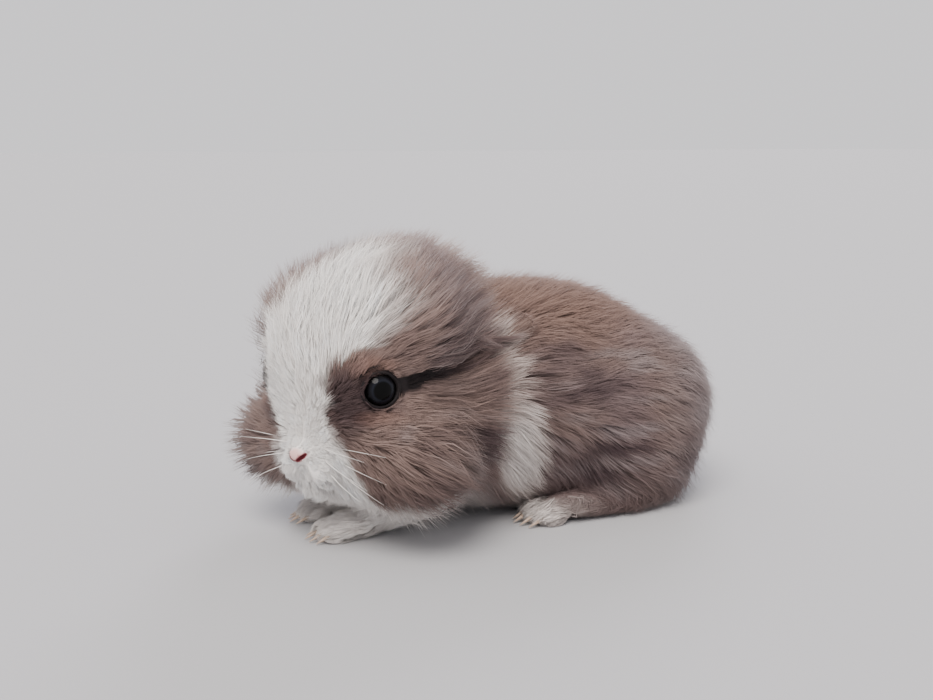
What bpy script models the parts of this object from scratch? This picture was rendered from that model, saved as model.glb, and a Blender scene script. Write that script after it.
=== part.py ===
"""A young teddy dwarf rabbit in life size, lying in a loaf with its head turned to its left.

The rabbit looks along -X, its left flank is on the side of -Y, and it rests on z = 0. Each body
form is an ellipsoid out to the tips of the coat, with the depth of the locks that cover it. The
long coat is flat, tapered locks that lie over one another on a core. The forms are sized in
millimetres, and the origin ends at the middle of the rabbit's box, on the floor.
"""

import math
import random

import bmesh
import bpy
from mathutils import Matrix, Vector
from mathutils.bvhtree import BVHTree

MM = 0.001
GAP = 0.33 * MM  # between neighbours that touch

# The pose
HEAD_TURN = math.radians(31)  # to the rabbit's left
HEAD_PIVOT = Vector((-44, -6, 60))  # the middle of the skull

# The mesh of the flesh
VOXEL = 3.2
SMOOTHING = 14
HEAD_SHARE = 0.105  # of the triangles that the head keeps
BODY_SHARE = 0.05  # of the triangles that the torso and the neck keep
LIMB_VOXEL = 2.0
LIMB_SHARE = 0.3

# The eyes, in the head's own directions
EYE_PLACE = Vector((26.6, 22.8, 3.6))  # forward, out and up from the pivot
EYE_RADIUS = 7.0
EYE_OUT = math.radians(57)  # from straight ahead
LID_RADIUS = 1.1
LID_RING = 6.3
LID_AHEAD = 3.9  # of the ball's centre

# The ears, laid back over the nape with their cups outwards
EAR_ROOT = Vector((-4, 25, 28))
EAR_WAYS = {-1: Vector((0.94, -0.08, -0.32)), 1: Vector((0.90, 0.30, -0.32))}
EAR_LENGTH = 42.0
EAR_WIDTH = 18.0
EAR_CUP = 4.0
EAR_THICK = 1.8
EAR_TILT = math.radians(20)  # of the cup, down from the coat's own face
EAR_DEPTH = (4.5, -4.5)  # under the core of the coat, at root and tip

# Where the head meets the neck, and the neck the torso: cones that open backwards
HEAD_END = {"centre": (-22, 3, 50), "radii": (38, 44), "slant": (-0.25, 0.25), "floor": 24}
NECK_END = {"centre": (-2, 0, 46), "radii": (38, 42), "slant": (0, -0.1), "floor": 14}
CONE_LENGTH = 90.0
CONE_REACH = 26.0

# The haunch's edge in the flank leans back along the lie of the coat
HAUNCH_CENTRE = Vector((61, 36, 22))
HAUNCH_RADII = (33, 27)
HAUNCH_LEAN = Vector((3.0, 1.0, -0.9))

# The tail
TAIL_CENTRE = Vector((108, 0, 27))
TAIL_COVER = 3.0
TAIL_REACH = 50.0  # from which locks of the rump may lie against it

# The toes of a fore and a hind foot, and their claws
FORE_TOES = {
    "front": -65.5,  # of the toes' middles, and how much shorter the outer toes are
    "curve": 1.6,
    "middle": 12.2,  # of the foot, out from the body's middle
    "spread": 3.5,
    "height": 3.3,
    "radii": (5.5, 2.0, 3.9),
    "claw": (4.6, 1.0),
}
HIND_TOES = {
    "front": 17.5,
    "curve": 1.8,
    "middle": 29.5,
    "spread": 4.0,
    "height": 3.8,
    "radii": (7.5, 2.4, 4.4),
    "claw": (5.4, 1.2),
}
CLAW_TIP = 0.6  # over the floor

# The locks of the long coat
SEED = 13
LOCK_SINK = 3.2  # of the root under the core
LOCK_STATIONS = (0.0, 0.2, 0.55, 1.0)  # along the lock
LOCK_RISE = (0.0, 0.5, 0.92, 1.0)  # share of the way from the core to the tips
LOCK_BREADTH = (0.7, 1.0, 0.8, 0.0)
LOCK_BODY = (1.0, 1.0, 0.75, 0.0)
RUMP_START = 50.0  # from where the coat turns down
UNDER_RUMP = (68, 17)  # no lock is rooted behind and below this
FACE_REACH = 27.0  # round the nose, where the fur is short
EYE_REACH = 10.0  # round the eye, where it is short as well
# name of the coat: length, breadth, thickness and spacing of its locks
COATS = {
    "face": (20, 10, 1.8, 10.5),
    "head": (34, 14, 2.6, 13.5),
    "neck": (34, 15, 2.8, 13.5),
    "torso": (43, 17, 3.0, 17.0),
    "haunch": (34, 15, 2.6, 15.0),
    "tail": (12, 7, 1.8, 6.0),
}

COLOURS = {
    "head": (0.37, 0.27, 0.20, 1),
    "neck": (0.75, 0.69, 0.60, 1),
    "torso": (0.32, 0.21, 0.14, 1),
    "tail": (0.45, 0.34, 0.25, 1),
    "ear": (0.40, 0.29, 0.22, 1),
    "eye": (0.010, 0.007, 0.006, 1),
    "foreleg": (0.80, 0.76, 0.70, 1),
    "hindleg": (0.36, 0.26, 0.19, 1),
}


def in_head(forward, right, up):
    """A place in millimetres, given in the head's own directions from its pivot."""
    return HEAD_PIVOT + Matrix.Rotation(HEAD_TURN, 3, "Z") @ Vector((-forward, right, up))


def form(centre, radii, turn=0.0, lift=0.0):
    """The matrix that makes a unit sphere into an ellipsoid at its place, in millimetres."""
    turned = Matrix.Rotation(turn, 4, "Z") @ Matrix.Rotation(lift, 4, "Y")
    return Matrix.Translation(centre) @ turned @ Matrix.Diagonal((*radii, 1))


def body_forms(covered):
    """The forms of head, neck and torso, out to the tips or, if covered, to the locks' roots."""
    slope = math.radians(6)
    sized = [
        ((28, 0, 47), (66, 45, 48), 0, slope, 5.5),
        ((66, 0, 40), (45, 46, 37), 0, 0, 5.5),
        ((48, 0, 44), (52, 46, 42), 0, slope, 5.5),
        ((-14, 0, 48), (36, 42, 44), 0, 0, 5.5),
        ((61, -26, 27), (36, 21, 26), 0, 0, 5.5),
        ((61, 26, 27), (36, 21, 26), 0, 0, 5.5),
        ((25, 0, 21), (52, 30, 22), 0, 0, 0.0),
        (in_head(8, 0, 8), (37, 36.5, 39), HEAD_TURN, 0, 4.0),
        (in_head(11, 0, -18), (34, 47, 32), HEAD_TURN, 0, 6.0),
        (in_head(30, 0, -21), (15.5, 14, 14.5), HEAD_TURN, 0, 2.5),
        (in_head(26, 0, -6), (17, 13, 22), HEAD_TURN, 0, 1.5),
        (in_head(-30, 0, 24), (26, 30, 27), HEAD_TURN, 0, 5.5),
        (in_head(-32, 0, -5), (38, 40, 42), HEAD_TURN, 0, 5.5),
        (in_head(-10, 0, 14), (36, 38, 38), HEAD_TURN, 0, 5.0),
        (in_head(7, 0, -6), (38, 42, 36), HEAD_TURN, 0, 7.0),
        (in_head(7, -14, 16), (28, 30, 29), HEAD_TURN, 0, 6.0),
        (in_head(7, 14, 16), (28, 30, 29), HEAD_TURN, 0, 6.0),
        (in_head(15, -23, -24), (25, 30, 23), HEAD_TURN, 0, 6.0),
        (in_head(15, 23, -24), (25, 30, 23), HEAD_TURN, 0, 6.0),
    ]
    forms = []
    for centre, radii, turn, lift, cover in sized:
        less = cover if covered else 0
        forms.append(form(centre, [radius - less for radius in radii], turn, lift))
    for side in (-1, 1):
        mound = in_head(EYE_PLACE.x - 3, side * (EYE_PLACE.y - 3), EYE_PLACE.z)
        forms.append(form(mound, (10, 10, 10.5)))
    return forms


def toe_places(side, toes):
    """The middles of the four toes of a foot."""
    places = []
    for toe in range(4):
        along = toes["front"] + abs(toe - 1.3) * toes["curve"]
        across = toes["middle"] + (toe - 1.5) * toes["spread"]
        places.append(Vector((along, side * across, toes["height"])))
    return places


def foreleg_forms(side):
    """The forearm under the chest and the paw under the chin."""
    arm = form((-33, side * 15, 11.5), (26, 8, 8.5), lift=math.radians(-12))
    paw = form((-54, side * 13.5, 4.8), (13, 7.4, 5.4), turn=side * math.radians(-8))
    return [arm, paw] + [form(place, FORE_TOES["radii"]) for place in toe_places(side, FORE_TOES)]


def foot_forms(side):
    """The shank and the long foot under the haunch."""
    shank = form((66, side * 27, 15), (22, 13, 15))
    foot = form((50, side * 30, 6.2), (34, 9.0, 7.4))
    return [shank, foot] + [form(place, HIND_TOES["radii"]) for place in toe_places(side, HIND_TOES)]


def tail_forms(covered):
    """The short tail, turned up against the rump."""
    less = TAIL_COVER if covered else 0
    radii = [radius - less for radius in (10, 10.5, 14)]
    return [form(TAIL_CENTRE, radii, lift=math.radians(-12))]


def claws(side, toes):
    """The claws of one foot, each from its toe down to just above the floor."""
    made = []
    length, thick = toes["claw"]
    for place in toe_places(side, toes):
        root = place + Vector((0.5 - toes["radii"][0] * 0.85, 0, -0.5))
        tip = Vector((root.x - length, root.y, CLAW_TIP))
        way = tip - root
        shape = bmesh.new()
        turned = way.to_track_quat("Z", "Y").to_matrix().to_4x4()
        bmesh.ops.create_cone(
            shape,
            cap_ends=True,
            segments=5,
            radius1=thick,
            radius2=0,
            depth=way.length,
            matrix=Matrix.Translation((root + tip) / 2) @ turned,
        )
        bmesh.ops.remove_doubles(shape, verts=shape.verts, dist=1e-4)
        made.append(object_from("claw", shape))
    return made


def add_object(name, mesh):
    """An object in the scene that holds the mesh."""
    piece = bpy.data.objects.new(name, mesh)
    bpy.context.scene.collection.objects.link(piece)
    return piece


def object_from(name, shape):
    """An object made from a bmesh that is in millimetres."""
    bmesh.ops.scale(shape, vec=(MM, MM, MM), verts=shape.verts)
    mesh = bpy.data.meshes.new(name)
    shape.to_mesh(mesh)
    shape.free()
    return add_object(name, mesh)


def apply_modifiers(piece):
    """Puts what the modifiers make in the mesh of the piece."""
    evaluated = piece.evaluated_get(bpy.context.evaluated_depsgraph_get())
    mesh = bpy.data.meshes.new_from_object(evaluated)
    piece.modifiers.clear()
    old = piece.data
    piece.data = mesh
    bpy.data.meshes.remove(old)


def flesh(name, forms, voxel, smoothing, share):
    """One smooth closed body from ellipsoids that run into one another."""
    shape = bmesh.new()
    for matrix in forms:
        bmesh.ops.create_uvsphere(shape, u_segments=40, v_segments=24, radius=1, matrix=matrix)
    piece = object_from(name, shape)
    remesh = piece.modifiers.new("skin", "REMESH")
    remesh.mode = "VOXEL"
    remesh.voxel_size = voxel * MM
    smooth = piece.modifiers.new("soften", "SMOOTH")
    smooth.factor = 0.5
    smooth.iterations = smoothing
    if share < 1:
        thin = piece.modifiers.new("thin", "DECIMATE")
        thin.ratio = share
    apply_modifiers(piece)
    return piece


def combine(piece, others, operation, solver="MANIFOLD"):
    """One Boolean of the piece with a collection of closed pieces, which it then removes."""
    group = bpy.data.collections.new("group")
    bpy.context.scene.collection.children.link(group)
    for other in others:
        bpy.context.scene.collection.objects.unlink(other)
        group.objects.link(other)
    boolean = piece.modifiers.new("boolean", "BOOLEAN")
    boolean.operation = operation
    boolean.operand_type = "COLLECTION"
    boolean.collection = group
    boolean.solver = solver
    apply_modifiers(piece)
    for other in others:
        bpy.data.objects.remove(other)
    bpy.data.collections.remove(group)
    return piece


def keep_largest(piece):
    """Keeps the largest closed surface of the piece."""
    shape = bmesh.new()
    shape.from_mesh(piece.data)
    unseen = set(shape.verts)
    surfaces = []
    while unseen:
        edge = [unseen.pop()]
        found = set(edge)
        while edge:
            vert = edge.pop()
            for link in vert.link_edges:
                other = link.other_vert(vert)
                if other in unseen:
                    unseen.remove(other)
                    found.add(other)
                    edge.append(other)
        surfaces.append(found)
    largest = max(surfaces, key=len)
    loose = [vert for vert in shape.verts if vert not in largest]
    bmesh.ops.delete(shape, geom=loose, context="VERTS")
    shape.to_mesh(piece.data)
    shape.free()


def copy_of(piece, name):
    """A copy with a mesh of its own."""
    return add_object(name, piece.data.copy())


def grown(piece, distance):
    """A copy that is larger by the distance on all its sides."""
    larger = copy_of(piece, piece.name + "_grown")
    moves = [vert.normal * distance for vert in larger.data.vertices]
    for vert, move in zip(larger.data.vertices, moves):
        vert.co += move
    return larger


def hull_round(piece, distance):
    """The convex hull of a piece, wider by the distance on all its sides."""
    shape = bmesh.new()
    for vert in piece.data.vertices:
        for axis in range(3):
            for move in (-distance, distance):
                corner = vert.co / MM
                corner[axis] += move / MM
                shape.verts.new(corner)
    hull = bmesh.ops.convex_hull(shape, input=shape.verts)
    inner = [item for item in hull["geom_interior"] if isinstance(item, bmesh.types.BMVert)]
    bmesh.ops.delete(shape, geom=inner, context="VERTS")
    bmesh.ops.recalc_face_normals(shape, faces=shape.faces)
    return object_from(piece.name + "_hull", shape)


def slab(name, low, high):
    """A box between two corners in millimetres."""
    low = Vector(low)
    high = Vector(high)
    size = Matrix.Diagonal((*(high - low), 1))
    shape = bmesh.new()
    bmesh.ops.create_cube(shape, size=1, matrix=Matrix.Translation((low + high) / 2) @ size)
    return object_from(name, shape)


def cone_front(name, end, growth=0.0):
    """All that lies before a cone that opens backwards along the lie of the coat."""
    across, high = end["radii"]
    wider = growth / ((across + high) / 2)
    far = 2.6
    profile = [
        (0.0, -2 * CONE_LENGTH),
        (far, -2 * CONE_LENGTH),
        (far, CONE_REACH + growth),
        (1 - wider + CONE_REACH / CONE_LENGTH, CONE_REACH + growth),
        (1 - wider - (end["floor"] - growth) / CONE_LENGTH, growth - end["floor"]),
        (0.0, growth - end["floor"]),
    ]
    shape = bmesh.new()
    verts = [shape.verts.new((along, 0, ring)) for ring, along in profile]
    edges = [shape.edges.new(pair) for pair in zip(verts, verts[1:])]
    bmesh.ops.spin(
        shape,
        geom=verts + edges,
        axis=(1, 0, 0),
        cent=(0, 0, 0),
        angle=2 * math.pi,
        steps=64,
        use_merge=True,
    )
    bmesh.ops.remove_doubles(shape, verts=shape.verts, dist=1e-4)
    bmesh.ops.recalc_face_normals(shape, faces=shape.faces)
    slanted = Matrix.Identity(4)
    slanted[0][1], slanted[0][2] = end["slant"]
    place = Matrix.Translation(end["centre"]) @ slanted @ Matrix.Diagonal((1, across, high, 1))
    bmesh.ops.transform(shape, matrix=place, verts=shape.verts)
    return object_from(name, shape)


def haunch_zone(name, side, growth=0.0):
    """A leaning round plug that holds the haunch and what of the coat lies over it."""
    shape = bmesh.new()
    wide, high = HAUNCH_RADII
    outwards = Vector((HAUNCH_LEAN.x, side * HAUNCH_LEAN.y, HAUNCH_LEAN.z))
    centre = Vector((HAUNCH_CENTRE.x, side * HAUNCH_CENTRE.y, HAUNCH_CENTRE.z))
    inside = Vector((0, -side * (22 + growth), 0))
    rings = []
    for place, looser in ((centre + inside, 1), (centre, 3), (centre + outwards * 30, 3)):
        ring = []
        for step in range(32):
            angle = step * 2 * math.pi / 32
            across = (wide + growth * looser) * math.cos(angle)
            up = (high + growth) * math.sin(angle)
            ring.append(shape.verts.new(place + Vector((across, 0, up))))
        rings.append([shape.edges.new(pair) for pair in zip(ring, ring[1:] + ring[:1])])
    for first, second in zip(rings, rings[1:]):
        bmesh.ops.bridge_loops(shape, edges=first + second)
    bmesh.ops.holes_fill(shape, edges=rings[0] + rings[-1])
    bmesh.ops.recalc_face_normals(shape, faces=shape.faces)
    return object_from(name, shape)


def eye_axes(side):
    """The eye's centre and the way that it looks, for the left (-1) or the right (1) eye."""
    centre = in_head(EYE_PLACE.x, side * EYE_PLACE.y, EYE_PLACE.z)
    ahead = in_head(math.cos(EYE_OUT), side * math.sin(EYE_OUT), 0.05) - HEAD_PIVOT
    return centre, ahead.normalized()


def eyeball(name, side, growth=0.0):
    """The ball of the eye, its pole on the way that it looks."""
    centre, ahead = eye_axes(side)
    shape = bmesh.new()
    turned = ahead.to_track_quat("Z", "Y").to_matrix().to_4x4()
    bmesh.ops.create_uvsphere(
        shape,
        u_segments=16,
        v_segments=8,
        radius=EYE_RADIUS + growth,
        matrix=Matrix.Translation(centre) @ turned,
    )
    return object_from(name, shape)


def lids(side):
    """The rim of both lids, a ring round the ball."""
    centre, ahead = eye_axes(side)
    upright = Matrix.Rotation(math.pi / 2, 4, "X")
    outwards = Matrix.Translation((LID_RING, 0, 0))
    shape = bmesh.new()
    bmesh.ops.create_circle(shape, segments=6, radius=LID_RADIUS, matrix=outwards @ upright)
    bmesh.ops.spin(
        shape,
        geom=shape.verts[:] + shape.edges[:],
        axis=(0, 0, 1),
        cent=(0, 0, 0),
        angle=2 * math.pi,
        steps=16,
        use_merge=True,
    )
    bmesh.ops.remove_doubles(shape, verts=shape.verts, dist=1e-4)
    bmesh.ops.recalc_face_normals(shape, faces=shape.faces)
    turned = ahead.to_track_quat("Z", "Y").to_matrix().to_4x4()
    place = Matrix.Translation(centre + ahead * LID_AHEAD) @ turned
    bmesh.ops.transform(shape, matrix=place, verts=shape.verts)
    return object_from("lids", shape)


def ear_width(share):
    """How wide the ear is at a share of its length, from a narrow root to a rounded tip."""
    return EAR_WIDTH * math.sin(math.pi * (0.12 + 0.86 * share)) ** 0.6


def ear(name, side, surface, growth=0.0, clearing=0.0):
    """A cupped ear that lies in the coat, or the room that it needs."""
    steps = 8
    place = in_head(EAR_ROOT.x, side * EAR_ROOT.y, EAR_ROOT.z)
    shape = bmesh.new()
    rings = []
    for step in range(steps + 1):
        share = step / steps
        near, normal, _, _ = surface.find_nearest(place * MM)
        near = near / MM
        along = (EAR_WAYS[side] - normal * EAR_WAYS[side].dot(normal)).normalized()
        depth = EAR_DEPTH[0] + (EAR_DEPTH[1] - EAR_DEPTH[0]) * math.sin(share * math.pi / 2)
        tilt = Matrix.Rotation(side * EAR_TILT, 3, along)
        face = tilt @ normal
        across = along.cross(face)
        end = growth * ((step == steps) - (step == 0))
        middle = near - normal * depth + along * end
        half = ear_width(share) / 2 + growth
        cup = EAR_CUP * ear_width(share) / EAR_WIDTH
        lift = clearing * min(max((share - 0.1) / 0.25, 0), 1)
        ring = []
        for k in range(-2, 3):
            u = k / 2
            rise = lift if clearing else -cup * (1 - u * u)
            ring.append(middle + across * u * half + face * rise)
        for k in range(2, -3, -1):
            u = k / 2
            wall = EAR_THICK * (1 - 0.45 * u * u) + growth
            ring.append(middle + across * u * half - face * (cup * (1 - u * u) + wall))
        rings.append([shape.verts.new(corner) for corner in ring])
        place = near + along * EAR_LENGTH / steps
    for first, second in zip(rings, rings[1:]):
        for k in range(10):
            shape.faces.new((first[k], first[k - 1], second[k - 1], second[k]))
    shape.faces.new(rings[0])
    shape.faces.new(rings[-1])
    bmesh.ops.triangulate(shape, faces=shape.faces)
    bmesh.ops.recalc_face_normals(shape, faces=shape.faces)
    return object_from(name, shape)


def round_piece(name, centre, radii, turn=None, segments=14):
    """A closed ellipsoid with few faces, its pole on the way that it is turned to."""
    shape = bmesh.new()
    place = Matrix.Translation(centre)
    if turn is not None:
        place = place @ turn.to_track_quat("Z", "Y").to_matrix().to_4x4()
    bmesh.ops.create_uvsphere(
        shape,
        u_segments=segments,
        v_segments=segments // 2 + 1,
        radius=1,
        matrix=place @ Matrix.Diagonal((*radii, 1)),
    )
    return object_from(name, shape)


def muzzle():
    """The bridge and the pad of the nose, the lips on both sides and the chin."""
    forms = [
        form(in_head(25, 0, -12), (15, 10, 15), HEAD_TURN),
        form(in_head(32, 0, -21), (12.5, 11.5, 10.5), HEAD_TURN),
        form(in_head(32.5, 0, -34), (7.5, 6.5, 5.5), HEAD_TURN),
        form(in_head(43.4, 0, -20.6), (3.2, 4.4, 3.2), HEAD_TURN),
    ]
    for side in (-1, 1):
        forms.append(form(in_head(36.8, side * 5.6, -26.5), (7.4, 6.8, 7.2), HEAD_TURN))
    return flesh("muzzle", forms, 1.2, 4, 0.07)


def face_cuts():
    """The nostrils, the groove under the nose and the line of the mouth."""
    cuts = []
    for side in (-1, 1):
        slant = in_head(0.5, side * 0.8, 0.6) - HEAD_PIVOT
        place = in_head(45.3, side * 2.7, -20.8)
        cuts.append(round_piece("nostril", place, (0.65, 1.6, 2.6), slant.normalized(), 10))
    up = Vector((0, 0, 1))
    cuts.append(round_piece("groove", in_head(44.2, 0, -27), (0.5, 2.6, 4.4), up, 10))
    mouth = bmesh.new()
    bmesh.ops.create_circle(
        mouth,
        segments=5,
        radius=0.8,
        matrix=Matrix.Translation((1, 0, 0)) @ Matrix.Rotation(math.pi / 2, 4, "X"),
    )
    bmesh.ops.translate(mouth, vec=(11, 0, 0), verts=mouth.verts)
    bmesh.ops.spin(
        mouth,
        geom=mouth.verts[:] + mouth.edges[:],
        axis=(0, 0, 1),
        cent=(0, 0, 0),
        angle=2 * math.pi,
        steps=18,
        use_merge=True,
    )
    bmesh.ops.remove_doubles(mouth, verts=mouth.verts, dist=1e-4)
    bmesh.ops.recalc_face_normals(mouth, faces=mouth.faces)
    turned = Matrix.Rotation(HEAD_TURN, 4, "Z") @ Matrix.Rotation(math.radians(12), 4, "Y")
    place = Matrix.Translation(in_head(31, 0, -31.5)) @ turned
    bmesh.ops.transform(mouth, matrix=place, verts=mouth.verts)
    cuts.append(object_from("mouth", mouth))
    return cuts


def before(end, place):
    """How far a place lies before a cone's edge, along the body."""
    local = Vector(place) - Vector(end["centre"])
    across, high = end["radii"]
    ring = math.hypot(local.y / across, local.z / high)
    edge = max(CONE_LENGTH * (ring - 1), -end["floor"])
    return edge + end["slant"][0] * local.y + end["slant"][1] * local.z - local.x


def in_haunch(place, side, room):
    """Whether a place on the flank is over the haunch, with some room to spare."""
    wide, high = HAUNCH_RADII
    across = (place.x - HAUNCH_CENTRE.x) / (wide - room)
    up = (place.z - HAUNCH_CENTRE.z) / (high - room)
    return side * place.y > 10 and math.hypot(across, up) < 1


def lie(coat, place):
    """The way that the coat lies at a place: from the nose back, and down towards the floor."""
    if coat in ("face", "head"):
        return place - in_head(48, 0, -16) + Vector((0, 0, -6))
    if coat == "tail":
        return Vector((0.1, 0.0, 1.0))
    fall = max(place.x - RUMP_START, 0) / 20
    return Vector((1.0, 0.0, -0.35 - fall))


def coat_at(place):
    """Which coat covers a place on the core, or none."""
    under = place.z < 7 or (place.x > UNDER_RUMP[0] and place.z < UNDER_RUMP[1])
    if (place - in_head(44, 0, -22)).length < FACE_REACH or under:
        return None
    for side in (-1, 1):
        centre, ahead = eye_axes(side)
        if (place - centre - ahead * EYE_RADIUS).length < EYE_REACH:
            return None
    if before(HEAD_END, place) > 2:
        near_face = (place - in_head(44, 0, -22)).length < 44
        return "face" if near_face else "head"
    if before(HEAD_END, place) > -1:
        return None
    if before(NECK_END, place) > 0:
        return "neck"
    if before(NECK_END, place) > -2:
        return None
    for side in (-1, 1):
        if in_haunch(place, side, 2):
            return "haunch"
        if in_haunch(place, side, -1):
            return None
    return "torso"


def lock(coat, place, surface, tips, draw):
    """One flat, tapered lock that rises from the core to the tips and bends along its lie."""
    length, breadth, body, _ = COATS[coat]
    length *= draw.uniform(0.85, 1.15)
    breadth *= draw.uniform(0.85, 1.15)
    bend = draw.uniform(-0.5, 0.5)
    start = draw.uniform(-0.25, 0.25) - bend / 2
    shape = bmesh.new()
    rings = []
    at = place
    last = 0.0
    for share, rise, wide, thick in zip(LOCK_STATIONS, LOCK_RISE, LOCK_BREADTH, LOCK_BODY):
        near, normal, _, _ = surface.find_nearest(at * MM)
        near = near / MM
        way = lie(coat, near)
        way = (way - normal * way.dot(normal)).normalized()
        way = Matrix.Rotation(start + bend * share, 3, normal) @ way
        if share > last:
            near, normal, _, _ = surface.find_nearest((near + way * length * (share - last)) * MM)
            near = near / MM
        last = share
        at = near
        for side in (-1, 1):
            centre, ahead = eye_axes(side)
            if (near - centre - ahead * EYE_RADIUS).length < EYE_REACH - 2:
                shape.free()
                return None
        reach = min(max(tips.find_nearest(near * MM)[3] / MM, 1.2), 8.0)
        height = reach * rise - body * thick / 2 if share else -LOCK_SINK
        middle = near + normal * height
        if wide == 0:
            point = shape.verts.new(near + normal * reach)
            for a, b in zip(rings[-1], rings[-1][1:] + rings[-1][:1]):
                shape.faces.new((a, b, point))
            break
        across = normal.cross(way) * breadth * wide / 2
        up = normal * body * thick / 2
        corners = (middle - across - up, middle + across - up, middle + up)
        rings.append([shape.verts.new(corner) for corner in corners])
    for first, second in zip(rings, rings[1:]):
        for k in range(3):
            shape.faces.new((first[k], first[k - 1], second[k - 1], second[k]))
    shape.faces.new(rings[0])
    bmesh.ops.triangulate(shape, faces=shape.faces)
    bmesh.ops.recalc_face_normals(shape, faces=shape.faces)
    return object_from("lock", shape)


def scattered(piece, draw):
    """Places on the piece in a drawn order, the same density all over."""
    triangles = []
    weights = []
    for face in piece.data.polygons:
        corners = [piece.data.vertices[k].co / MM for k in face.vertices]
        for k in range(2, len(corners)):
            triangle = (corners[0], corners[k - 1], corners[k])
            triangles.append(triangle)
            sides = (triangle[1] - triangle[0], triangle[2] - triangle[0])
            weights.append(sides[0].cross(sides[1]).length / 2)
    for a, b, c in draw.choices(triangles, weights, k=6000):
        u = draw.random()
        v = draw.random()
        if u + v > 1:
            u, v = 1 - u, 1 - v
        yield a + (b - a) * u + (c - a) * v


def tail_locks(tail, draw):
    """The locks of the tail, rooted behind where it leaves the rump."""
    outline = flesh("outline", tail_forms(False), LIMB_VOXEL, 4, 1)
    graph = bpy.context.evaluated_depsgraph_get()
    surface = BVHTree.FromObject(tail, graph)
    tips = BVHTree.FromObject(outline, graph)
    bpy.data.objects.remove(outline)
    locks = []
    taken = []
    for place in scattered(tail, draw):
        near = any((place - other).length < COATS["tail"][3] for other in taken)
        if place.x < TAIL_CENTRE.x or place.z > TAIL_CENTRE.z + 1 or near:
            continue
        taken.append(place)
        locks.append(lock("tail", place, surface, tips, draw))
    return locks


def coat_locks(core, surface, tips, draw):
    """All the locks of head, neck, torso and haunches, by the node that they grow from."""
    locks = {"head": [], "neck": [], "torso": [], "haunch_left": [], "haunch_right": []}
    taken = []
    for place in scattered(core, draw):
        coat = coat_at(place)
        if coat is None:
            continue
        spacing = COATS[coat][3]
        if any((place - other).length < spacing for other in taken):
            continue
        made = lock(coat, place, surface, tips, draw)
        if made is None:
            continue
        taken.append(place)
        node = {"face": "head", "haunch": "haunch_left" if place.y < 0 else "haunch_right"}
        locks[node.get(coat, coat)].append(made)
    return locks


def material(name, colour, roughness):
    """A plain coloured finish."""
    finish = bpy.data.materials.new(name)
    finish.use_nodes = True
    shader = finish.node_tree.nodes["Principled BSDF"]
    shader.inputs["Base Color"].default_value = colour
    shader.inputs["Roughness"].default_value = roughness
    shader.inputs["Metallic"].default_value = 0.0
    return finish


def near_cuts(legs, surface):
    """Copies of what the locks and the flesh of head, neck and torso stay clear of."""
    cuts = [slab("floor", (-200, -150, -60), (250, 150, 0))]
    cuts += [grown(leg, GAP) for leg in legs]
    cuts += [ear("room", side, surface, GAP / MM, 12) for side in (-1, 1)]
    return cuts


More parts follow.
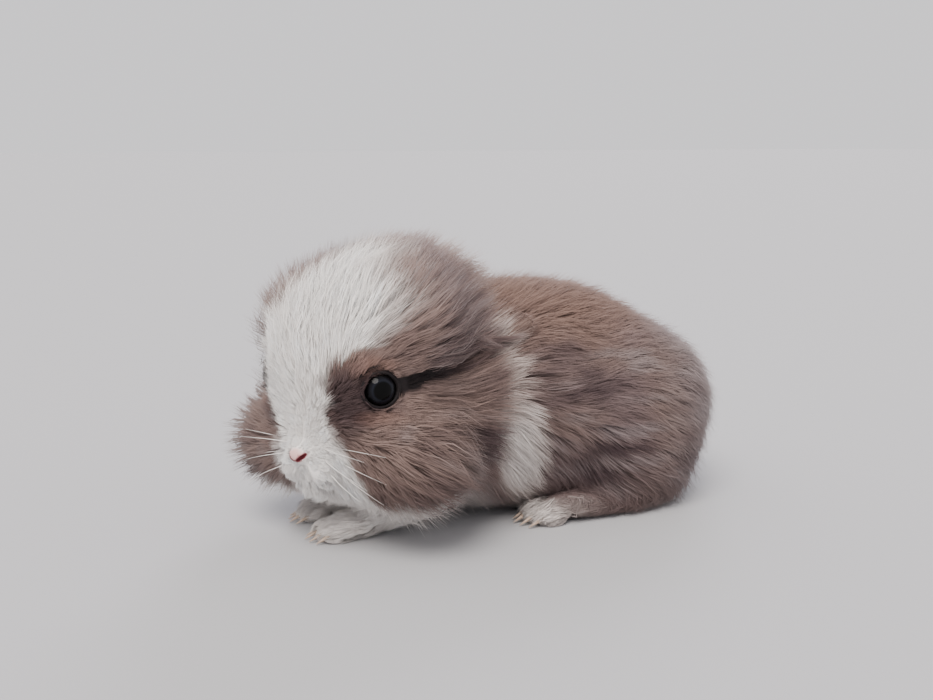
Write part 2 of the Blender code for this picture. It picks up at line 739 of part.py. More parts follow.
def main():
    for old in list(bpy.data.objects):
        bpy.data.objects.remove(old)

    outline = flesh("outline", body_forms(False), VOXEL, SMOOTHING, 1)
    core = flesh("core", body_forms(True), VOXEL, SMOOTHING, HEAD_SHARE)
    coarse = flesh("coarse", body_forms(True), VOXEL, SMOOTHING, BODY_SHARE)
    graph = bpy.context.evaluated_depsgraph_get()
    surface = BVHTree.FromObject(core, graph)
    tips = BVHTree.FromObject(outline, graph)
    draw = random.Random(SEED)
    locks = coat_locks(core, surface, tips, draw)

    forelegs = {}
    hindlegs = {}
    for side, word in ((-1, "left"), (1, "right")):
        fore = "foreleg_" + word
        hind = "hindleg_" + word
        forelegs[fore] = flesh(fore, foreleg_forms(side), 1.1, 2, 0.055)
        hindlegs[hind] = flesh(hind, foot_forms(side), 1.4, 2, 0.045)
        combine(forelegs[fore], claws(side, FORE_TOES), "UNION")
        combine(hindlegs[hind], claws(side, HIND_TOES), "UNION")
    legs = [*forelegs.values(), *hindlegs.values()]
    tail = flesh("tail", tail_forms(True), LIMB_VOXEL, 4, 0.2)
    brush = tail_locks(tail, draw)
    combine(tail, brush, "UNION")
    rump = [grown(coarse, GAP)]
    for piece in locks["torso"]:
        if (piece.data.vertices[0].co / MM - TAIL_CENTRE).length < TAIL_REACH:
            rump.append(hull_round(piece, 2 * GAP))
    combine(tail, rump, "DIFFERENCE")
    ears = {"ear_left": ear("ear_left", -1, surface), "ear_right": ear("ear_right", 1, surface)}

    head = copy_of(core, "head")
    combine(head, [muzzle(), lids(-1), lids(1)] + locks["head"], "UNION")
    combine(head, [cone_front("zone", HEAD_END)], "INTERSECT")
    sockets = [eyeball("socket", side, GAP / MM) for side in (-1, 1)]
    combine(head, near_cuts(legs, surface) + sockets + face_cuts(), "DIFFERENCE")

    neck = copy_of(coarse, "neck")
    combine(neck, locks["neck"], "UNION")
    combine(neck, [cone_front("zone", NECK_END)], "INTERSECT")
    cuts = near_cuts(legs, surface) + [cone_front("cut", HEAD_END, GAP / MM)]
    combine(neck, cuts, "DIFFERENCE")

    torso = copy_of(coarse, "torso")
    combine(torso, locks["torso"], "UNION")
    cuts = near_cuts(legs, surface) + [cone_front("cut", NECK_END, GAP / MM)]
    cuts += [haunch_zone("cut", side, GAP / MM) for side in (-1, 1)]
    combine(torso, cuts, "DIFFERENCE")

    for side, word in ((-1, "left"), (1, "right")):
        leg = hindlegs["hindleg_" + word]
        haunch = copy_of(coarse, "haunch")
        combine(haunch, locks["haunch_" + word], "UNION")
        combine(haunch, [haunch_zone("zone", side)], "INTERSECT")
        combine(leg, [haunch], "UNION")
    for leg in legs:
        combine(leg, [slab("floor", (-200, -150, -60), (250, 150, 0))], "DIFFERENCE")

    eyes = {"eye_left": eyeball("eye_left", -1), "eye_right": eyeball("eye_right", 1)}
    nodes = {"head": head, "neck": neck, "torso": torso, "tail": tail}
    nodes.update(**forelegs, **hindlegs, **ears, **eyes)
    for helper in (outline, core, coarse):
        bpy.data.objects.remove(helper)

    for name, piece in nodes.items():
        keep_largest(piece)
        kind = name.split("_")[0]
        piece.data.materials.clear()
        piece.data.materials.append(material(name, COLOURS[kind], 0.15 if kind == "eye" else 0.8))
        piece.data.shade_smooth()

    corners = [vert.co for piece in nodes.values() for vert in piece.data.vertices]
    low = [min(corner[k] for corner in corners) for k in (0, 1)]
    high = [max(corner[k] for corner in corners) for k in (0, 1)]
    shift = Vector((-(low[0] + high[0]) / 2, -(low[1] + high[1]) / 2, 0))
    for piece in nodes.values():
        piece.data.transform(Matrix.Translation(shift))
        piece.data.update()


main()
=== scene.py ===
# %% [markdown]
# # A young teddy dwarf rabbit, lying in a loaf
#
# Twelve solids give the rabbit's true size, with its long coat as broad locks. This script
# dresses them. One skin goes under the coat, and the coat is made of some 260,000 thin tufts that
# follow its lie. Eyes, claws and whiskers are pieces of their own.
#
# The first cell loads the solids as a fixed frame and keeps the box that they fill.

# %% Load the solids
import math
import random

import bmesh
import bpy
import numpy as np
from mathutils import Matrix, Vector
from mathutils.bvhtree import BVHTree
from mathutils.kdtree import KDTree


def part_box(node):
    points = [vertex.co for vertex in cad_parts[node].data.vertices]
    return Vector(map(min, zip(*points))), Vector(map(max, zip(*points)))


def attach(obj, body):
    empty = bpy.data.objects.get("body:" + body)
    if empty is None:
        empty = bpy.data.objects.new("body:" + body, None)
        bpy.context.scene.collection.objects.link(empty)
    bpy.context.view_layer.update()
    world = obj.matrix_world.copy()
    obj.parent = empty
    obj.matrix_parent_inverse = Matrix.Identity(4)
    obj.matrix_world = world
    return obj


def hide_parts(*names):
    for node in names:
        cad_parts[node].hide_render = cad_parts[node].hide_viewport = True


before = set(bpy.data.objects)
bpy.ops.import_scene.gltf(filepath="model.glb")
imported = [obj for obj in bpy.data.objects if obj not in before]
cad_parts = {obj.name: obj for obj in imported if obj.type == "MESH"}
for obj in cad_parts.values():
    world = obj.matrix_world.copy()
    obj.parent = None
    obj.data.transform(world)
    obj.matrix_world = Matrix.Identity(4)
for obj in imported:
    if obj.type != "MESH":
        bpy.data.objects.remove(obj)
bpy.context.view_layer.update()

MM = 0.001
print("nodes:", ", ".join(sorted(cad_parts)))

# %% [markdown]
# ## The rabbit's measures
#
# All forms are worked out in millimetres in the rabbit's own frame: it looks along -X, its left
# flank is on the side of -Y, and z = 0 is the floor. The head has directions of its own, forward,
# right and up from its pivot, because it is turned to the left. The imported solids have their
# origin at the middle of their box, so one shift, read from the left eye, takes every place there.

# %% Places in the rabbit's frame
HEAD_TURN = math.radians(31)
HEAD_PIVOT = Vector((-44, -6, 60))
EYE_PLACE = Vector((26.6, 22.8, 3.6))  # forward, out and up from the pivot
EYE_RADIUS = 7.0
EYE_OUT, EYE_UP = math.radians(57), 0.05  # the way that it looks
NOSE = Vector((47.2, 0, -20.0))


def in_head(forward, right, up):
    """A place in millimetres, given in the head's own directions."""
    return HEAD_PIVOT + Matrix.Rotation(HEAD_TURN, 3, "Z") @ Vector((-forward, right, up))


def on_side(side, place):
    """A place forward, out and up, on the left (-1) or the right (1) of the head."""
    return in_head(place[0], side * place[1], place[2])


def way_on_side(side, way):
    """A way forward, out and up, on the left or the right of the head."""
    return on_side(side, way) - HEAD_PIVOT


def to_head(places):
    """Places as rows of forward, right and up in the head's own directions."""
    turned = np.array(Matrix.Rotation(-HEAD_TURN, 3, "Z"))
    return ((places - np.array(HEAD_PIVOT)) @ turned.T) * (-1, 1, 1)


def pole_on(way):
    """The turn that lays the pole of a shape, its own Z, on a way."""
    return way.to_track_quat("Z", "Y").to_matrix().to_4x4()


def eye_axes(side):
    """The eye's centre and the way that it looks."""
    ahead = way_on_side(side, (math.cos(EYE_OUT), math.sin(EYE_OUT), EYE_UP))
    return on_side(side, EYE_PLACE), ahead.normalized()


eye_low, eye_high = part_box("eye_left")
SHIFT = (Vector(eye_low) + Vector(eye_high)) / 2 - eye_axes(-1)[0] * MM
IN_FRAME = Matrix.Translation(SHIFT) @ Matrix.Scale(MM, 4)
print("shift in mm:", [round(value / MM, 2) for value in SHIFT])

# %% [markdown]
# ## Colours and shader nodes
#
# Colours are written as sRGB hex values, which is how a paint or hair chart gives them. Blender's
# shaders count in linear light, so one function turns them. A second small function adds a node
# with its settings and its links, and a third starts a material with its uniform values.

# %% Colour, node and material helpers


def linear(colour):
    """An sRGB hex value as linear red, green, blue and alpha."""
    parts = [int(colour[k : k + 2], 16) / 255 for k in (1, 3, 5)]
    return (*[p / 12.92 if p <= 0.04045 else ((p + 0.055) / 1.055) ** 2.4 for p in parts], 1.0)


def add_node(tree, kind, settings=None, links=None):
    """Adds a node; settings are its properties or input values, links feed its inputs."""
    made = tree.nodes.new(kind)
    for name, value in (settings or {}).items():
        if isinstance(name, str) and hasattr(made, name):
            setattr(made, name, value)
        else:
            made.inputs[name].default_value = value
    for name, source in (links or {}).items():
        tree.links.new(source, made.inputs[name])
    return made


def new_material(name, sockets):
    """A material, its node tree, and its Principled shader with values on its own sockets."""
    finish = bpy.data.materials.new(name)
    finish.use_nodes = True
    shader = finish.node_tree.nodes["Principled BSDF"]
    for socket, value in sockets.items():
        shader.inputs[socket].default_value = value
    return finish, finish.node_tree, shader


# %% Object helpers


def placed(name, data):
    """A new object in the scene."""
    made = bpy.data.objects.new(name, data)
    bpy.context.scene.collection.objects.link(made)
    return made


def object_from(name, shape, place=None):
    """An object from a bmesh, with its place in its mesh."""
    if place is not None:
        bmesh.ops.transform(shape, matrix=place, verts=shape.verts)
    mesh = bpy.data.meshes.new(name)
    shape.to_mesh(mesh)
    shape.free()
    return placed(name, mesh)


def look_along(piece, way):
    """Turns a camera or a lamp to look along a way."""
    piece.rotation_mode = "QUATERNION"
    piece.rotation_quaternion = way.to_track_quat("-Z", "Y")


# %% [markdown]
# ## Camera, floor and light
#
# The photograph looks at the rabbit's left side from slightly above, from about 44 cm away, with
# the head on the left of the picture. The floor is plain and pale. Two very broad, distant lamps
# and a bright surround light it as a studio's white walls do: broad light shades the coat softly,
# and distant light keeps the floor alike all the way back.

# %% Camera
CAMERA_LENS, CAMERA_SENSOR = 42.0, 36.0
CAMERA_WAY = (math.radians(-25), math.radians(11))  # azimuth and elevation
CAMERA_DISTANCE = 440.0
CAMERA_AIM = Vector((-2, 0, 66))
NEAREST = 0.01  # metres, the closest that the camera sees

azimuth, elevation = CAMERA_WAY
level = math.cos(elevation)
back = Vector((math.sin(azimuth) * level, -math.cos(azimuth) * level, math.sin(elevation)))
camera = placed("camera", bpy.data.cameras.new("camera"))
camera.data.lens = CAMERA_LENS
camera.data.sensor_width = CAMERA_SENSOR
camera.data.clip_start = NEAREST
camera.location = IN_FRAME @ (CAMERA_AIM + back * CAMERA_DISTANCE)
look_along(camera, -back)
bpy.context.scene.camera = camera
print("camera at", [round(value, 3) for value in camera.location])

# %% Floor and lamps
FLOOR_HALF = 12.0  # metres
LAMPS = {
    # direction that the light comes from, strength, breadth in degrees, colour
    "key": ((-0.42, -0.52, 1.00), 3.8, 35, "#FFF8F2"),
    "rim": ((0.60, 0.75, 0.55), 1.4, 25, "#F3F0FF"),
}
SURROUND_COLOUR, SURROUND_STRENGTH = "#DEDCDF", 1.42

floor_shape = bmesh.new()
bmesh.ops.create_grid(floor_shape, x_segments=1, y_segments=1, size=FLOOR_HALF)
floor = object_from("floor", floor_shape)
paper, _, _ = new_material("pale matt paper", {"Base Color": linear("#B2B2B4"), "Roughness": 0.9})
floor.data.materials.append(paper)

for name, (way, power, breadth, tint) in LAMPS.items():
    lamp = placed(name, bpy.data.lights.new(name, "SUN"))
    lamp.data.energy = power
    lamp.data.angle = math.radians(breadth)
    lamp.data.color = linear(tint)[:3]
    look_along(lamp, -Vector(way))

world = bpy.data.worlds.new("studio")
bpy.context.scene.world = world
world.use_nodes = True
surround = world.node_tree.nodes["Background"].inputs
surround["Color"].default_value = linear(SURROUND_COLOUR)
surround["Strength"].default_value = SURROUND_STRENGTH
print("lamps:", ", ".join(LAMPS))

# %% [markdown]
# ## The forms of the body
#
# A rabbit's body under a long coat is a few rounded masses that run into one another. Each is an
# ellipsoid: its centre, its radii out to the tips of the coat, its turn and lift, and how deep
# the coat lies on it. They could be sculpted, but named sizes keep the skin, the tips of the coat
# and the solids in step.

# %% Ellipsoids


def form(centre, radii, turn=0.0, lift=0.0):
    """The matrix that makes a unit sphere into an ellipsoid at its place, in millimetres."""
    turned = Matrix.Rotation(turn, 4, "Z") @ Matrix.Rotation(lift, 4, "Y")
    return Matrix.Translation(centre) @ turned @ Matrix.Diagonal((*radii, 1))


def head_form(place, radii):
    """An ellipsoid that is turned with the head, and placed in the head's own directions."""
    return form(in_head(*place), radii, HEAD_TURN)


BACK_SLOPE = math.radians(6)
TRUNK_FORMS = [
    # centre, radii, lift, depth of the coat
    ((28, 0, 47), (66, 45, 48), BACK_SLOPE, 5.5),
    ((66, 0, 40), (45, 46, 37), 0, 5.5),
    ((48, 0, 44), (52, 46, 42), BACK_SLOPE, 5.5),
    ((-14, 0, 48), (36, 42, 44), 0, 5.5),
    ((61, -26, 27), (36, 21, 26), 0, 5.5),
    ((61, 26, 27), (36, 21, 26), 0, 5.5),
    ((25, 0, 21), (52, 30, 22), 0, 2.5),
]
HEAD_FORMS = [
    # place in the head's directions, radii, depth of the coat
    ((8, 0, 8), (37, 36.5, 39), 4.0),
    ((11, 0, -18), (34, 47, 32), 6.0),
    ((30, 0, -21), (15.5, 14, 14.5), 2.5),
    ((26, 0, -6), (17, 13, 22), 1.5),
    ((-30, 0, 24), (26, 30, 27), 5.5),
    ((-32, 0, -5), (38, 40, 42), 5.5),
    ((-10, 0, 14), (36, 38, 38), 5.0),
    ((7, 0, -6), (38, 42, 36), 7.0),
    ((7, -14, 16), (28, 30, 29), 6.0),
    ((7, 14, 16), (28, 30, 29), 6.0),
    ((15, -23, -24), (25, 30, 23), 6.0),
    ((15, 23, -24), (25, 30, 23), 6.0),
]
MOUND_BEHIND = Vector((3, 3, 0))  # the mound of an eye, behind and inside the eye's centre
EYE_MOUND = (10, 10, 10.5)
FLUFF_FORM = head_form((11, 24, 5), (22, 21, 20))  # of the coat alone


def body_forms(covered):
    """The masses of head, neck and torso, out to the tips of the coat or to the covered skin."""
    forms = []
    for centre, radii, lift, depth in TRUNK_FORMS:
        forms.append(form(centre, [radius - depth * covered for radius in radii], lift=lift))
    for place, radii, depth in HEAD_FORMS:
        forms.append(head_form(place, [radius - depth * covered for radius in radii]))
    forms += [form(on_side(side, EYE_PLACE - MOUND_BEHIND), EYE_MOUND) for side in (-1, 1)]
    return forms if covered else forms + [FLUFF_FORM]


# %% Muzzle, legs and tail
MUZZLE_FORMS = [
    # the bridge and pad of the nose, the chin, the nose and the lips: place and radii
    ((25, 0, -12), (15, 10, 15)),
    ((32, 0, -21), (11.7, 10.7, 9.7)),
    ((32.5, 0, -34), (6.8, 5.8, 4.8)),
    ((43.0, 0, -20.6), (3.2, 4.2, 3.0)),
    ((36.4, -5.4, -26.4), (6.6, 6.0, 6.4)),
    ((36.4, 5.4, -26.4), (6.6, 6.0, 6.4)),
]
TOES = (
    # fore and hind: front, curve, middle, spread and height of the row, radii of a toe, and
    # length and thickness of a claw
    (-65.5, 1.6, 12.2, 3.5, 3.3, (5.0, 1.7, 3.2), (5.2, 0.9)),
    (17.5, 1.8, 29.5, 4.0, 3.8, (7.0, 2.1, 3.6), (6.0, 1.1)),
)
LIMB_LIFT = math.radians(-12)  # of the forearms and the tail
PAW_TURN = math.radians(-8)


def toe_places(side, front, curve, middle, spread, height):
    """The middles of the four toes of a foot."""
    places = []
    for toe in range(4):
        across = middle + (toe - 1.5) * spread
        places.append(Vector((front + abs(toe - 1.3) * curve, side * across, height)))
    return places


def limb_forms():
    """Forearms, paws, shanks and long hind feet, inside their short fur, and the tail."""
    forms = []
    for side in (-1, 1):
        forms += [
            form((-33, side * 15, 11.5), (24.5, 6.6, 7.1), lift=LIMB_LIFT),
            form((-54, side * 13.5, 5.2), (12.4, 6.8, 4.6), turn=side * PAW_TURN),
            form((66, side * 27, 15), (20, 11, 13)),
            form((50, side * 30, 6.6), (33, 8.2, 6.4)),
        ]
        for *row, radii, _ in TOES:
            forms += [form(place, radii) for place in toe_places(side, *row)]
    return forms + [form((108, 0, 27), (7, 7.5, 11), lift=LIMB_LIFT)]


# %% [markdown]
# ## The skin
#
# One skin covers head, trunk, legs and tail, so that no seam shows. The masses are joined by a
# voxel Remesh, which melts overlapping closed shapes into one surface, and Smooth rounds where
# they meet. The large masses are melted first with big voxels, and then again with the muzzle,
# the paws and the toes at a millimetre, which keeps these crisp.

# %% Melt the masses together
MASSES = {"voxel": 3.2, "smoothing": 14}
DETAILS = {"voxel": 1.15, "smoothing": 3}


def apply_modifiers(piece):
    """Puts what the modifiers make in the mesh of the piece."""
    evaluated = piece.evaluated_get(bpy.context.evaluated_depsgraph_get())
    mesh = bpy.data.meshes.new_from_object(evaluated)
    piece.modifiers.clear()
    old = piece.data
    piece.data = mesh
    bpy.data.meshes.remove(old)


def melt(name, forms, voxel, smoothing, others=()):
    """One smooth closed surface from ellipsoids and other closed pieces, in millimetres."""
    shape = bmesh.new()
    for matrix in forms:
        bmesh.ops.create_uvsphere(shape, u_segments=40, v_segments=24, radius=1, matrix=matrix)
    for other in others:
        shape.from_mesh(other.data)
        bpy.data.objects.remove(other)
    piece = object_from(name, shape)
    remesh = piece.modifiers.new("melt", "REMESH")
    remesh.mode = "VOXEL"
    remesh.voxel_size = voxel
    smooth = piece.modifiers.new("soften", "SMOOTH")
    smooth.factor = 0.5
    smooth.iterations = smoothing
    apply_modifiers(piece)
    return piece


outline = melt("outline", body_forms(covered=False), **MASSES)
masses = melt("masses", body_forms(covered=True), **MASSES)
details = [head_form(*muzzle) for muzzle in MUZZLE_FORMS] + limb_forms()
skin = melt("skin", details, **DETAILS, others=[masses])
print("skin:", len(skin.data.vertices), "vertices")

# %% [markdown]
# ## Ears, lids, nose and mouth
#
# The ears of this breed stand in life, and this rabbit holds them flat along its nape. An ear is a
# leaf, curved into a cup, that narrows to its root: rings of points across it are bridged from
# root to tip. The rim of the lids is a ring round each ball. One Boolean joins these to the skin,
# and another cuts the sockets, the nostrils, the groove under the nose and the line of the mouth,
# which a voxel would be too coarse for.

# %% Ears
EAR_ROOT = (-4, 25, 28)
EAR_WAYS = {-1: Vector((0.94, -0.08, -0.32)), 1: Vector((0.90, 0.30, -0.32))}
EAR_LENGTH = 42.0
EAR_WIDTH = 17.0
EAR_CUP = 4.0
EAR_THICK = 1.1
EAR_THINNER = 0.6  # the share that the wall loses towards each edge
EAR_TILT = math.radians(20)
EAR_DEPTH = (4.5, -4.5)  # under the skin at the root and at the tip
EAR_STEPS = 22
EAR_ACROSS = 6  # points from the middle to each edge


def surface_tree(piece):
    """A tree that finds the nearest place on a piece."""
    return BVHTree.FromObject(piece, bpy.context.evaluated_depsgraph_get())


nape_tree = surface_tree(skin)


def ear_width(share):
    """How wide the ear is at a share of its length."""
    return EAR_WIDTH * math.sin(math.pi * (0.12 + 0.86 * share)) ** 0.6


def ear_rings(side):
    """Rings across the ear from root to tip, each with its inner and its outer side."""
    place = on_side(side, EAR_ROOT)
    rings = []
    for step in range(EAR_STEPS + 1):
        share = step / EAR_STEPS
        below, normal, _, _ = nape_tree.find_nearest(place)
        along = (EAR_WAYS[side] - normal * EAR_WAYS[side].dot(normal)).normalized()
        depth = EAR_DEPTH[0] + (EAR_DEPTH[1] - EAR_DEPTH[0]) * math.sin(share * math.pi / 2)
        face = Matrix.Rotation(side * EAR_TILT, 3, along) @ normal
        across = along.cross(face)
        middle = below - normal * depth
        half = ear_width(share) / 2
        cup = EAR_CUP * ear_width(share) / EAR_WIDTH
        inner = []
        outer = []
        for k in range(-EAR_ACROSS, EAR_ACROSS + 1):
            u = k / EAR_ACROSS
            bow = cup * (1 - u * u)
            wall = EAR_THICK * (1 - EAR_THINNER * u * u)
            inner.append(middle + across * u * half - face * bow)
            outer.append(middle + across * u * half - face * (bow + wall))
        rings.append(inner + outer[::-1])
        place = below + along * EAR_LENGTH / EAR_STEPS
    return rings


def ear_shape(side):
    """The closed leaf of one ear."""
    shape = bmesh.new()
    loops = []
    for ring in ear_rings(side):
        verts = [shape.verts.new(corner) for corner in ring]
        loops.append([shape.edges.new(pair) for pair in zip(verts, verts[1:] + verts[:1])])
    for first, second in zip(loops, loops[1:]):
        bmesh.ops.bridge_loops(shape, edges=first + second)
    bmesh.ops.holes_fill(shape, edges=loops[0] + loops[-1])
    bmesh.ops.triangulate(shape, faces=shape.faces)
    bmesh.ops.recalc_face_normals(shape, faces=shape.faces)
    return object_from("ear", shape)


# %% Lids and the cuts of the face
LID_RING = 6.35
LID_AHEAD = 3.9
LID_RADIUS = 0.7
LID_OVAL = Matrix.Diagonal((1.06, 0.97, 1, 1))
SOCKET_ROOM = 0.12
NOSTRIL = (2.0, 0.75, 2.8)  # deep, high and long
NOSTRIL_PLACE = (45.2, 2.8, -21.0)
NOSTRIL_WAY = (-0.46, 0.63, 0.59)  # back, out and up
GROOVE_PLACE, GROOVE = (44.0, 0, -26.6), (0.45, 2.6, 4.4)
MOUTH_PLACE, MOUTH = (31, 0, -31.5), (11.4, 0.6)  # a ring and its thickness
MOUTH_TILT = math.radians(12)


def ring_piece(name, ring, thick, place):
    """A closed ring with a round section."""
    shape = bmesh.new()
    section = Matrix.Translation((ring, 0, 0)) @ Matrix.Rotation(math.pi / 2, 4, "X")
    bmesh.ops.create_circle(shape, segments=12, radius=thick, matrix=section)
    bmesh.ops.spin(
        shape,
        geom=shape.verts[:] + shape.edges[:],
        axis=(0, 0, 1),
        cent=(0, 0, 0),
        angle=2 * math.pi,
        steps=48,
        use_merge=True,
    )
    bmesh.ops.remove_doubles(shape, verts=shape.verts, dist=1e-4)
    bmesh.ops.recalc_face_normals(shape, faces=shape.faces)
    return object_from(name, shape, place)


def round_piece(name, centre, radii, way):
    """A closed ellipsoid with its pole on a way."""
    shape = bmesh.new()
    place = Matrix.Translation(centre) @ pole_on(way) @ Matrix.Diagonal((*radii, 1))
    bmesh.ops.create_uvsphere(shape, u_segments=24, v_segments=16, radius=1, matrix=place)
    return object_from(name, shape)


def lid_rim(side):
    """The rim of an eye's lids, a little wider than it is high."""
    centre, ahead = eye_axes(side)
    place = Matrix.Translation(centre + ahead * LID_AHEAD) @ pole_on(ahead) @ LID_OVAL
    return ring_piece("lid", LID_RING, LID_RADIUS, place)


def nostril_axis(side):
    """The middle of a nostril and the way of its slit."""
    return on_side(side, NOSTRIL_PLACE), way_on_side(side, NOSTRIL_WAY)


def face_cuts():
    """The sockets, the nostrils, the groove under the nose and the mouth."""
    cuts = []
    for side in (-1, 1):
        centre, ahead = eye_axes(side)
        cuts.append(round_piece("socket", centre, [EYE_RADIUS + SOCKET_ROOM] * 3, ahead))
        place, slant = nostril_axis(side)
        cuts.append(round_piece("nostril", place, NOSTRIL, slant))
    cuts.append(round_piece("groove", in_head(*GROOVE_PLACE), GROOVE, Vector((0, 0, 1))))
    turned = Matrix.Rotation(HEAD_TURN, 4, "Z") @ Matrix.Rotation(MOUTH_TILT, 4, "Y")
    cuts.append(ring_piece("mouth", *MOUTH, Matrix.Translation(in_head(*MOUTH_PLACE)) @ turned))
    return cuts


# %% Join and cut


def combine(piece, others, operation):
    """One Boolean of the piece with a collection of closed pieces, which it then removes."""
    group = bpy.data.collections.new("group")
    bpy.context.scene.collection.children.link(group)
    for other in others:
        bpy.context.scene.collection.objects.unlink(other)
        group.objects.link(other)
    boolean = piece.modifiers.new("boolean", "BOOLEAN")
    boolean.operation = operation
    boolean.operand_type = "COLLECTION"
    boolean.collection = group
    boolean.solver = "MANIFOLD"
    apply_modifiers(piece)
    for other in others:
        bpy.data.objects.remove(other)
    bpy.data.collections.remove(group)


rims = [lid_rim(side) for side in (-1, 1)]
combine(skin, rims + [ear_shape(side) for side in (-1, 1)], "UNION")
combine(skin, face_cuts(), "DIFFERENCE")
print("skin with its face:", len(skin.data.vertices), "vertices")

# %% [markdown]
# ## An unwrap of the skin
#
# Each tuft takes its place on the unwrap from where it is rooted, so the skin is unwrapped first.
# Smart Project cuts it into charts that lie flat without overlapping, and needs no seams drawn by
# hand.

# %% Unwrap
skin.data.shade_smooth()
bpy.context.view_layer.objects.active = skin
skin.select_set(True)
bpy.ops.object.mode_set(mode="EDIT")
bpy.ops.mesh.select_all(action="SELECT")
bpy.ops.uv.smart_project(angle_limit=math.radians(66), island_margin=0.002)
bpy.ops.object.mode_set(mode="OBJECT")
skin.data.uv_layers[0].name = "OFBake"
print("unwrapped", len(skin.data.polygons), "faces")

# %% [markdown]
# ## Where the coat is long and which way it lies
#
# A coat is groomed by two fields over the skin: how long the hair is, and which way it lies. Both
# are mixed by soft steps, so one zone fades into the next. Hair on the head runs from the nose
# back over the crown and the cheeks, on the trunk it runs back and down over the haunch, and on
# the legs towards the toes.

# %% Helpers of the fields
WAVES = 9


def soft_step(values, low, high):
    """From 0 at low to 1 at high, with soft ends."""
    share = np.clip((values - low) / (high - low), 0, 1)
    return share * share * (3 - 2 * share)


def mix(first, second, share):
    """The first value at a share of 0, the second at 1."""
    return first * (1 - share) + second * share


def unit(ways):
    """The ways with a length of one."""
    return ways / np.maximum(np.linalg.norm(ways, axis=-1), 1e-6)[..., None]


def distance(places, *centres):
    """How far each place is from the nearest of the centres."""
    return np.min([np.linalg.norm(places - np.array(at), axis=1) for at in centres], axis=0)


def waves(places, size, seed):
    """A smooth random field from -1 to 1, whose bumps are about the given size in millimetres."""
    draw = np.random.default_rng(seed)
    ways = draw.normal(size=(WAVES, 3))
    lengths = np.linalg.norm(ways, axis=1)[:, None]
    ways *= draw.uniform(0.6, 1.4, (WAVES, 1)) * math.pi / size / lengths
    phases = draw.uniform(0, 2 * math.pi, WAVES)
    return np.sin(places @ ways.T + phases).sum(axis=1) / math.sqrt(WAVES)


# %% Zones of the body
NECK_MIDDLE = (-22, 3, 50)  # of the edge where the head meets the neck
NECK_RADII = (38, 44)
NECK_SLANT = (-0.25, 0.25)
NECK_FLOOR = 24
CONE_LENGTH = 90.0


def head_share(places):
    """1 in front of the edge where the head meets the neck, 0 behind it."""
    x, y, z = (places - np.array(NECK_MIDDLE)).T
    ring = np.hypot(y / NECK_RADII[0], z / NECK_RADII[1])
    edge = np.maximum(CONE_LENGTH * (ring - 1), -NECK_FLOOR)
    return soft_step(edge + NECK_SLANT[0] * y + NECK_SLANT[1] * z - x, -8, 8)


def limb_share(places):
    """1 on the forearms, the paws and the hind feet."""
    x, y, z = places.T
    fore = soft_step(-x, 14, 24) * soft_step(-z, -24, -17)
    hind = soft_step(-z, -11, -6) * soft_step(np.abs(y), 17, 22) * soft_step(-x, -90, -70)
    return np.maximum(fore, hind * soft_step(x, -2, 4))


def tail_share(places):
    """1 on the tail."""
    return soft_step(places[:, 0], 105, 109) * soft_step(-places[:, 2], -44, -40)


def nose_distance(places):
    """How far a place is from the nose."""
    return distance(places, in_head(*NOSE))


def eye_distance(places):
    """How far a place is from the front of the nearer eye."""
    eyes = map(eye_axes, (-1, 1))
    return distance(places, *[centre + ahead * EYE_RADIUS * 0.6 for centre, ahead in eyes])


CREASE_AT = (-30, -21, -3.4, 14, 20, 27, 33)  # forward, from under the ear to the eye
CREASE_UP = (11.0, 9.5, 7.9, 7.0, 5.2, 3.6, 3.4)
CREASE_HALF = (0.3, 0.7, 1.0, 3.0, 3.4, 3.9, 4.0)


def crease(places):
    """1 in the crease that runs from the corner of each eye to below the ear, and how near it."""
    forward, right, up = to_head(places).T
    middle = np.interp(forward, CREASE_AT, CREASE_UP)
    half = np.interp(forward, CREASE_AT, CREASE_HALF)
    ends = soft_step(forward, -32, -22) * soft_step(-forward, -31, -28)
    outer = soft_step(np.abs(right), 20, 25)
    return (1 - soft_step(np.abs(up - middle) / half, 0.55, 1.35)) * ends * outer


def ear_share(places):
    """1 over an ear that lies back in the coat."""
    forward, right, up = to_head(places).T
    along = (-4 - forward) / 40
    middle = 26 - 9 * np.clip(along, 0, 1)
    ends = soft_step(along, -0.1, 0.25), soft_step(-along, -1.1, -0.8)
    return (np.abs(right) > 8) * (1 - soft_step(np.abs(up - middle), 4, 11)) * ends[0] * ends[1]


FLUFF_MIDDLE, FLUFF_RADII = (13, 33, 6), (16, 14, 20)


def cheek_fluff(places):
    """1 in the fluff that stands up beside the right eye, on the side that the head turns from."""
    away = (to_head(places) - np.array(FLUFF_MIDDLE)) / np.array(FLUFF_RADII)
    return 1 - soft_step(np.linalg.norm(away, axis=1), 0.65, 1.2)


# %% Length and lie of the hair
TRUNK_HAIR = FLUFF_HAIR = 14.0
LIMB_HAIR = 5.5
TAIL_HAIR = 9.0
LIE_SOURCE = in_head(47, 0, -19)  # where the hair of the head starts from
LIMB_LIE, TAIL_LIE = (-1.0, 0, -0.15), (0.1, 0, 1.0)
RUMP_START = 50.0
TRUNK_HEIGHTS = (8, 24, 40, 60, 76, 92)
TRUNK_FALL = (-1.0, -0.62, -0.34, 0.08, -0.05, -0.15)


